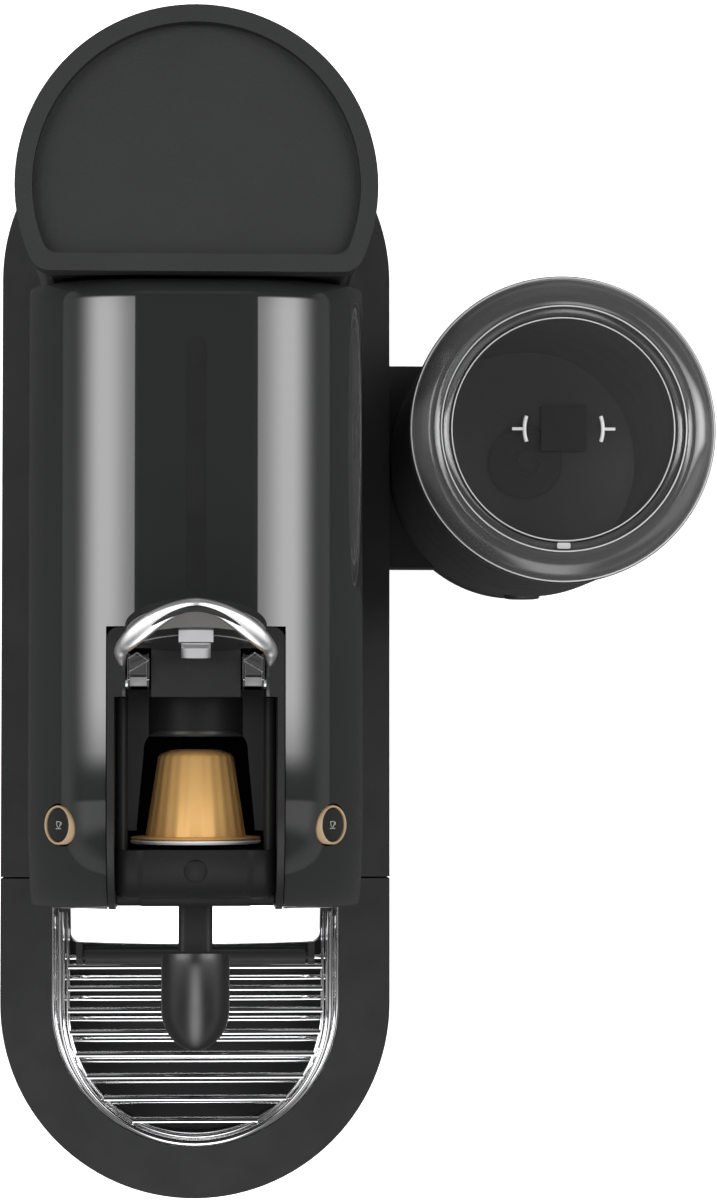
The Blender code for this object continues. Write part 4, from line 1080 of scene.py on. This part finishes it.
def make_lever_panel():
    """The black panel under the handle, with a grey band along its round top and a fine bead."""
    edge = HANDLE_R - 0.0006
    foot, foot_low, foot_high = 0.0115, 0.0245, 0.0285
    panel = arc(0, HANDLE_CENTRE, edge, -21, 201)
    panel += [(-foot, foot_high), (-foot, foot_low), (foot, foot_low), (foot, foot_high)]
    show("lever_panel", plate([panel], -0.0012, 0.0008), MATTE, "lever", ["lever_plate"],
         soft=0.0004, frame=PANEL_PLANE)
    hem = [(-0.0150, 0.0338), (-0.0128, 0.0366), (-0.0103, 0.0388), (-0.0055, 0.0402), (0, 0.0406)]
    band = arc(0, HANDLE_CENTRE, edge - 0.0002, 0, 180) + both_halves(hem)
    show("lever_band", plate([band], 0.0004, 0.0012), PANEL_GREY, "lever", soft=0.0001,
         frame=PANEL_PLANE)
    line = [(x, r, 0.0009) for x, r in arc(0, 0.0090, 0.0260, 52, 128)]
    show("lever_bead", swept(line, 0.00022, 10), PANEL_GREY, "lever", frame=PANEL_PLANE,
         crease=60)


def make_catch():
    """The two-tiered catch on the panel, a little waisted; the lower tier is narrower."""
    half, narrower = 0.0047, 0.84
    waist, waist_share = 0.038, 0.10
    tiers = [(0.0006, 0.0322), (0.0006, 0.0405), (0.0018, 0.0404), (0.0042, 0.0374), (0.0042, 0.0366)]
    tiers += [(0.0036, 0.0362), (0.0040, 0.0356), (0.0050, 0.0350), (0.0070, 0.0326), (0.0068, 0.0318)]
    rows = []
    for x in np.linspace(-half, half, 33):
        pinch = 1 - waist_share * (abs(x) / half) ** 4
        row = []
        for out, along in softened(tiers, 0.0006):
            share = 1.0 if out < 0.0039 or along > 0.0365 else narrower
            row.append((x * share, along * pinch + waist * (1 - pinch), out))
        rows.append(row)
    show("lever_catch", loft(rows), SATIN_CHROME, "lever", ["lever_latch"], soft=0.0005, steps=4,
         crease=50, frame=PANEL_PLANE)


def make_lever_sides():
    """Each arm: two thin cheeks, wires along their upper corners, and a folded strip between them."""
    hub = arc(PIVOT.y, PIVOT.z, 0.0040, 190, 350, 0.15)
    cheek = hub + [(-0.0100, 0.2540), (-0.0100, 0.2622), (-0.0112, 0.2638), (-0.0172, 0.2634)]
    cheek += [(-0.0190, 0.2612), (-0.0192, 0.2520)]
    inside_corner, rear_corner = (0.0131, -0.0119, 0.2640), (0.0160, -0.0098, 0.2640)
    outside_corner, front_corner = (0.0183, -0.0112, 0.2640), (0.0183, -0.0150, 0.2638)
    wires = ((inside_corner, rear_corner), (rear_corner, outside_corner), (inside_corner, front_corner))
    fold = [(-0.0162, 0.2520), (-0.0162, 0.2600), (-0.0104, 0.2630), (-0.0101, 0.2620)]
    fold += [(-0.0152, 0.2590), (-0.0152, 0.2520)]
    for name, side in (("left", -1), ("right", 1)):
        pieces = []
        for near, far in ((0.0128, 0.0134), (0.0180, 0.0186)):
            inner, outer = sorted((near * side, far * side))
            pieces.append(plate([cheek], inner, outer, SIDE))
        for wire in wires:
            start, end = (Vector((x * side, y, z)) for x, y, z in wire)
            pieces.append(swept([start, (start + end) / 2, end], 0.00025, 10))
        show(f"lever_side_{name}", merged(*pieces), CHROME, "lever", [f"lever_arm_{name}"],
             soft=0.0003)
        inner, outer = sorted((0.0132 * side, 0.0182 * side))
        folded = plate([fold], inner, outer, SIDE)
        show(f"lever_fold_{name}", folded, INK, "lever", soft=0.0002)
        pad = plate([rectangle(-0.0188, 0.2500, -0.0163, 0.2606)], inner, outer, SIDE)
        show(f"lever_pad_{name}", pad, PAD_GREY, "lever", soft=0.0003)


# Water tank ---

TANK_CORNER, INNER_CORNER = 0.006, 0.0045
TANK_WALL = 0.0022
PANEL_TOP = 0.2635  # the sunk panel in the middle of the lid


def lid_outline(inset, corner=INNER_CORNER):
    return tank_outline(LID_HIGH.x - inset, LID_LOW.y + inset, corner)


def make_tank():
    low = TANK_LOW.z
    outer = tank_outline(TANK_HIGH.x, TANK_LOW.y, TANK_CORNER)
    inner = tank_outline(TANK_HIGH.x - TANK_WALL, TANK_LOW.y + TANK_WALL, INNER_CORNER)
    tank = carve(plate([outer], low, TANK_HIGH.z), plate([inner], low + TANK_WALL, 0.3))
    show("tank_vessel", tank, SMOKE, "water_tank", ["tank_body"], soft=0.0006)
    low = LID_LOW.z + 0.006
    rim = plate([lid_outline(0, TANK_CORNER), lid_outline(0.0048)], low, LID_HIGH.z)
    plug = plate([lid_outline(0.0035), lid_outline(0.0055, 0.0035)], LID_LOW.z, low + 0.001)
    show("tank_lid_rim", merged(rim, plug), LID_FINISH, "water_tank_lid", ["tank_lid"],
         soft=0.0019, steps=6)
    panel = plate([lid_outline(0.0046)], low, PANEL_TOP)
    show("tank_lid_panel", panel, LID_FINISH, "water_tank_lid", soft=0.0003)


# Frother ---

AT_JUG = Matrix.Translation((JUG_X, JUG_Y, 0))
JUG_R = JUG_HIGH.x - JUG_X
JUG_FOOT_R = JUG_R - 0.0012
JUG_WALL = 0.0025
POT_R, POT_WALL = 0.0400, 0.0015
POT_INNER_R = POT_R - POT_WALL
PLUG_R = POT_INNER_R - 0.0014  # the lid's plug
BUTTON_LEVEL = 0.036
DISC_R, STEP_R = 0.0335, 0.0365  # the lid's flat disc, and the rim's inner edge
DISC_LEVEL = JUG_LID_HIGH.z - 0.0030
LID_WALL = 0.0016
BEAD_R = 0.00022
RIM_LEVEL = JUG_LID_LOW.z + 0.008


def make_frother_arm():
    arm_r, disc_r = 0.0345, 0.044
    front = 0.0254
    outline = [(ARM_LOW.x, front)] + arc(JUG_X, front + arm_r, arm_r, -90, 90)
    outline += [(ARM_LOW.x, front + 2 * arm_r)]
    arm = plate([outline], ARM_LOW.z, ARM_HIGH.z)
    disc = plate([circle(JUG_X, JUG_Y, disc_r)], ARM_LOW.z, ARM_HIGH.z)
    arm = carve(arm, disc, operation="UNION")
    show("frother_bridge", arm, BASE_FINISH, "machine", ["frother_arm"], soft=0.0009,
         steps=4)


def make_jug():
    low, top, foot, wall = JUG_LOW.z, JUG_HIGH.z, JUG_FOOT_R, JUG_WALL
    hole_r, round_edge = 0.009, 0.0008
    profile = [(hole_r, low + wall), (foot - wall, low + wall), (JUG_R - wall, top - 0.0004)]
    profile += [(JUG_R - wall + 0.0004, top), (JUG_R - round_edge, top), (JUG_R, top - round_edge)]
    profile += [(JUG_R, 0.060), (foot, BASE_HIGH.z + 0.002), (foot, low + 0.003)]
    profile += [(foot - 0.0012, low + round_edge), (foot - 0.003, low), (hole_r, low)]
    seat_r, seat_half = 0.0063, 0.007
    hole = turned([(0, -seat_half), (seat_r, -seat_half), (seat_r, seat_half), (0, seat_half)], 48)
    hole.transform(Matrix.Translation((0, -foot, BUTTON_LEVEL)) @ FACING_FRONT)
    jug = carve(turned(profile, 144, closed=True), hole)
    show("jug_housing", jug, JUG_FINISH, "frother_jug", ["jug_body"], frame=AT_JUG)
    cap = [(0, 0.0), (0.0045, 0.0001), (0.0056, 0.0003), (0.0060, 0.0009), (0.0060, 0.0070), (0, 0.0070)]
    place = Matrix.Translation((JUG_X, JUG_Y - foot - 0.0012, BUTTON_LEVEL)) @ FACING_FRONT.inverted()
    show("jug_button_cap", turned(cap, 48), SATIN, "frother_button", ["jug_button"],
         frame=place)


def make_pot():
    """The coated pot with its turned-out rim, and the whisk on its floor."""
    inner, low, rim = POT_INNER_R, POT_LOW.z, POT_HIGH.z
    floor = low + POT_WALL
    lip = 0.0006
    pot = [(0, floor), (inner - 0.006, floor), (inner - 0.0018, low + 0.0033), (inner, low + 0.0075)]
    pot += [(inner, rim - lip), (inner + lip, rim), (JUG_R - lip, rim), (JUG_R, rim - lip)]
    pot += [(JUG_R - 0.0003, rim - 0.0016), (POT_R, rim - 0.0016), (POT_R, low + 0.006)]
    pot += [(POT_R - 0.006, low), (0, low)]
    show("jug_liner", turned(pot, 144), POT, "frother_jug", ["jug_pot"], frame=AT_JUG)
    whisk = [(0, 0.009), (0.0030, 0.009), (0.0042, 0.0082), (0.0052, 0.0040), (0.0118, 0.0032)]
    whisk += [(0.0125, 0.0024), (0.0125, 0.0012), (0.0120, 0.0008), (0, 0.0008)]
    whisk = turned([(r, floor + z) for r, z in whisk], 64)
    show("whisk_disc", whisk, SATIN, "frother_whisk", ["whisk"], frame=AT_JUG)


def make_frother_lid():
    """A clear disc in a thick clear rim, three thin beads round it in an opaque light grey that paints the
    highlights along its clear edges, and the seal of its plug.
    """
    low, crown, flat = RIM_LEVEL, JUG_LID_HIGH.z, DISC_LEVEL
    rim_r = JUG_LID_HIGH.x - JUG_X
    ledge = PLUG_R - 0.0030
    disc = [(0, flat - LID_WALL), (ledge, flat - LID_WALL), (ledge, flat - 0.0008)]
    disc += [(DISC_R + 0.0006, flat - 0.0008), (DISC_R, flat), (0, flat)]
    show("frother_lid_disc", turned(disc, 144), CLEAR, "frother_lid", frame=AT_JUG, crease=50)
    rim = [(rim_r - 0.0006, low), (rim_r, low + 0.0006), (rim_r, low + 0.0026)]
    rim += [(rim_r - 0.0001, low + 0.0030)] + arc(0.0392, crown - 0.0068, 0.0068, 8, 90, 0.10)
    rim += [(STEP_R + 0.0010, crown - 0.0001), (STEP_R + 0.0003, crown - 0.0008), (STEP_R, flat)]
    rim += [(STEP_R - 0.0007, flat - 0.0008), (ledge + 0.0001, flat - 0.0009)]
    rim += [(ledge + 0.0001, flat - LID_WALL), (PLUG_R - LID_WALL, flat - LID_WALL - 0.0010)]
    rim += [(PLUG_R - LID_WALL, low - 0.008), (PLUG_R, low - 0.008), (PLUG_R, low)]
    show("frother_lid_dome", turned(rim, 144, closed=True), CLEAR_RIM, "frother_lid", ["jug_lid"],
         frame=AT_JUG, crease=50)
    # painted highlights: thin opaque light grey rings along the clear lid's edges
    beads = {
        "inner": (DISC_R, flat),
        "outer": (STEP_R + 0.0003, crown - 0.0004),
        "edge": (rim_r - 0.0006, low + 0.0036),
    }
    for name, (radius, level) in beads.items():
        ring = turned(circle(radius, level, BEAD_R, math.radians(30)), 144, closed=True)
        show(f"frother_lid_highlight_bead_{name}", ring, PAINTED_EDGE_HIGHLIGHT, "frother_lid", frame=AT_JUG)
    outer, groove, inner = POT_INNER_R - 0.0003, POT_INNER_R - 0.0006, PLUG_R + 0.0003
    seal = [(outer, low - 0.0026), (groove, low - 0.002), (inner, low - 0.002), (inner, low - 0.007)]
    seal += [(groove, low - 0.007), (outer, low - 0.0064), (groove, low - 0.0045)]
    show("frother_lid_seal", turned(seal, 96, closed=True), RUBBER, "frother_lid",
         ["jug_lid_seal"], frame=AT_JUG)


def make_lid_fittings():
    """The plain badge in the middle of the lid, the two clips beside it and the pull tab at its front; the
    clips and the tab are in an opaque light grey that paints highlights on clear plastic.
    """
    flat = DISC_LEVEL
    side = 0.00675
    badge = plate([rounded(-side, -side, side, side, 0.0004)], flat + 0.0001, flat + 0.0008)
    show("frother_lid_badge", badge, INK, "frother_lid", soft=0.0002, frame=AT_JUG)
    level = flat + 0.0007
    clip_r = 0.0118
    for name, way in (("left", -1), ("right", 1)):
        curve = [(way * x, y, level) for x, y in arc(0, 0, clip_r, -19, 19, 0.08)]
        stem = [(way * (clip_r + 0.0004 + 0.0011 * k), 0, level) for k in range(4)]
        clip = merged(swept(curve, 0.0006, 12), swept(stem, 0.0005, 12))
        # the clear clips drawn in light grey, as painted highlights
        show(f"frother_lid_clip_{name}", clip, PAINTED_EDGE_HIGHLIGHT, "frother_lid", frame=AT_JUG, crease=60)
    half = 0.0020
    tab = rounded(-half, -DISC_R - 0.0024, half, -DISC_R - 0.0006, 0.0005)
    tab = plate([tab], flat - 0.0006, flat + 0.0006)
    # the clear tab drawn in light grey, as a painted highlight
    show("frother_lid_tab", tab, PAINTED_EDGE_HIGHLIGHT, "frother_lid", soft=0.0002, frame=AT_JUG)


# The pieces that keep the frame's own surface ---

KEPT = (
    (SATIN, "bottom_plate chassis tank_seat frother_connector capsule_bin tank_valve cup_hinge_pin"),
    (STEEL, "brew_frame extraction_plate lever_pin_left lever_pin_right heater pump frother_motor"),
    (SILICONE, "hose_hot hose_pressure hose_suction"),
    (BOARD, "control_board"),
    (RUBBER, "tank_seat_seal cord_gland frother_foot rear_foot_left rear_foot_right"),
    (RUBBER, "middle_foot_left middle_foot_right drawer_foot_left drawer_foot_right"),
)


make_view()
make_world()
make_floor()
make_camera()
make_base()
make_lower_grid()
make_bin_cover()
make_cup_support()
make_outlet()
make_shell()
make_boom_reflection_strip()
make_head_shroud()
make_head_nose()
make_head_insert()
make_buttons()
make_pod()
make_cage()
make_handle()
make_stripe()
make_lever_panel()
make_catch()
make_lever_sides()
make_tank()
make_frother_arm()
make_jug()
make_pot()
make_frother_lid()
make_lid_fittings()
for node_finish, node_names in KEPT:
    for node_name in node_names.split():
        finish_node(node_name, node_finish)
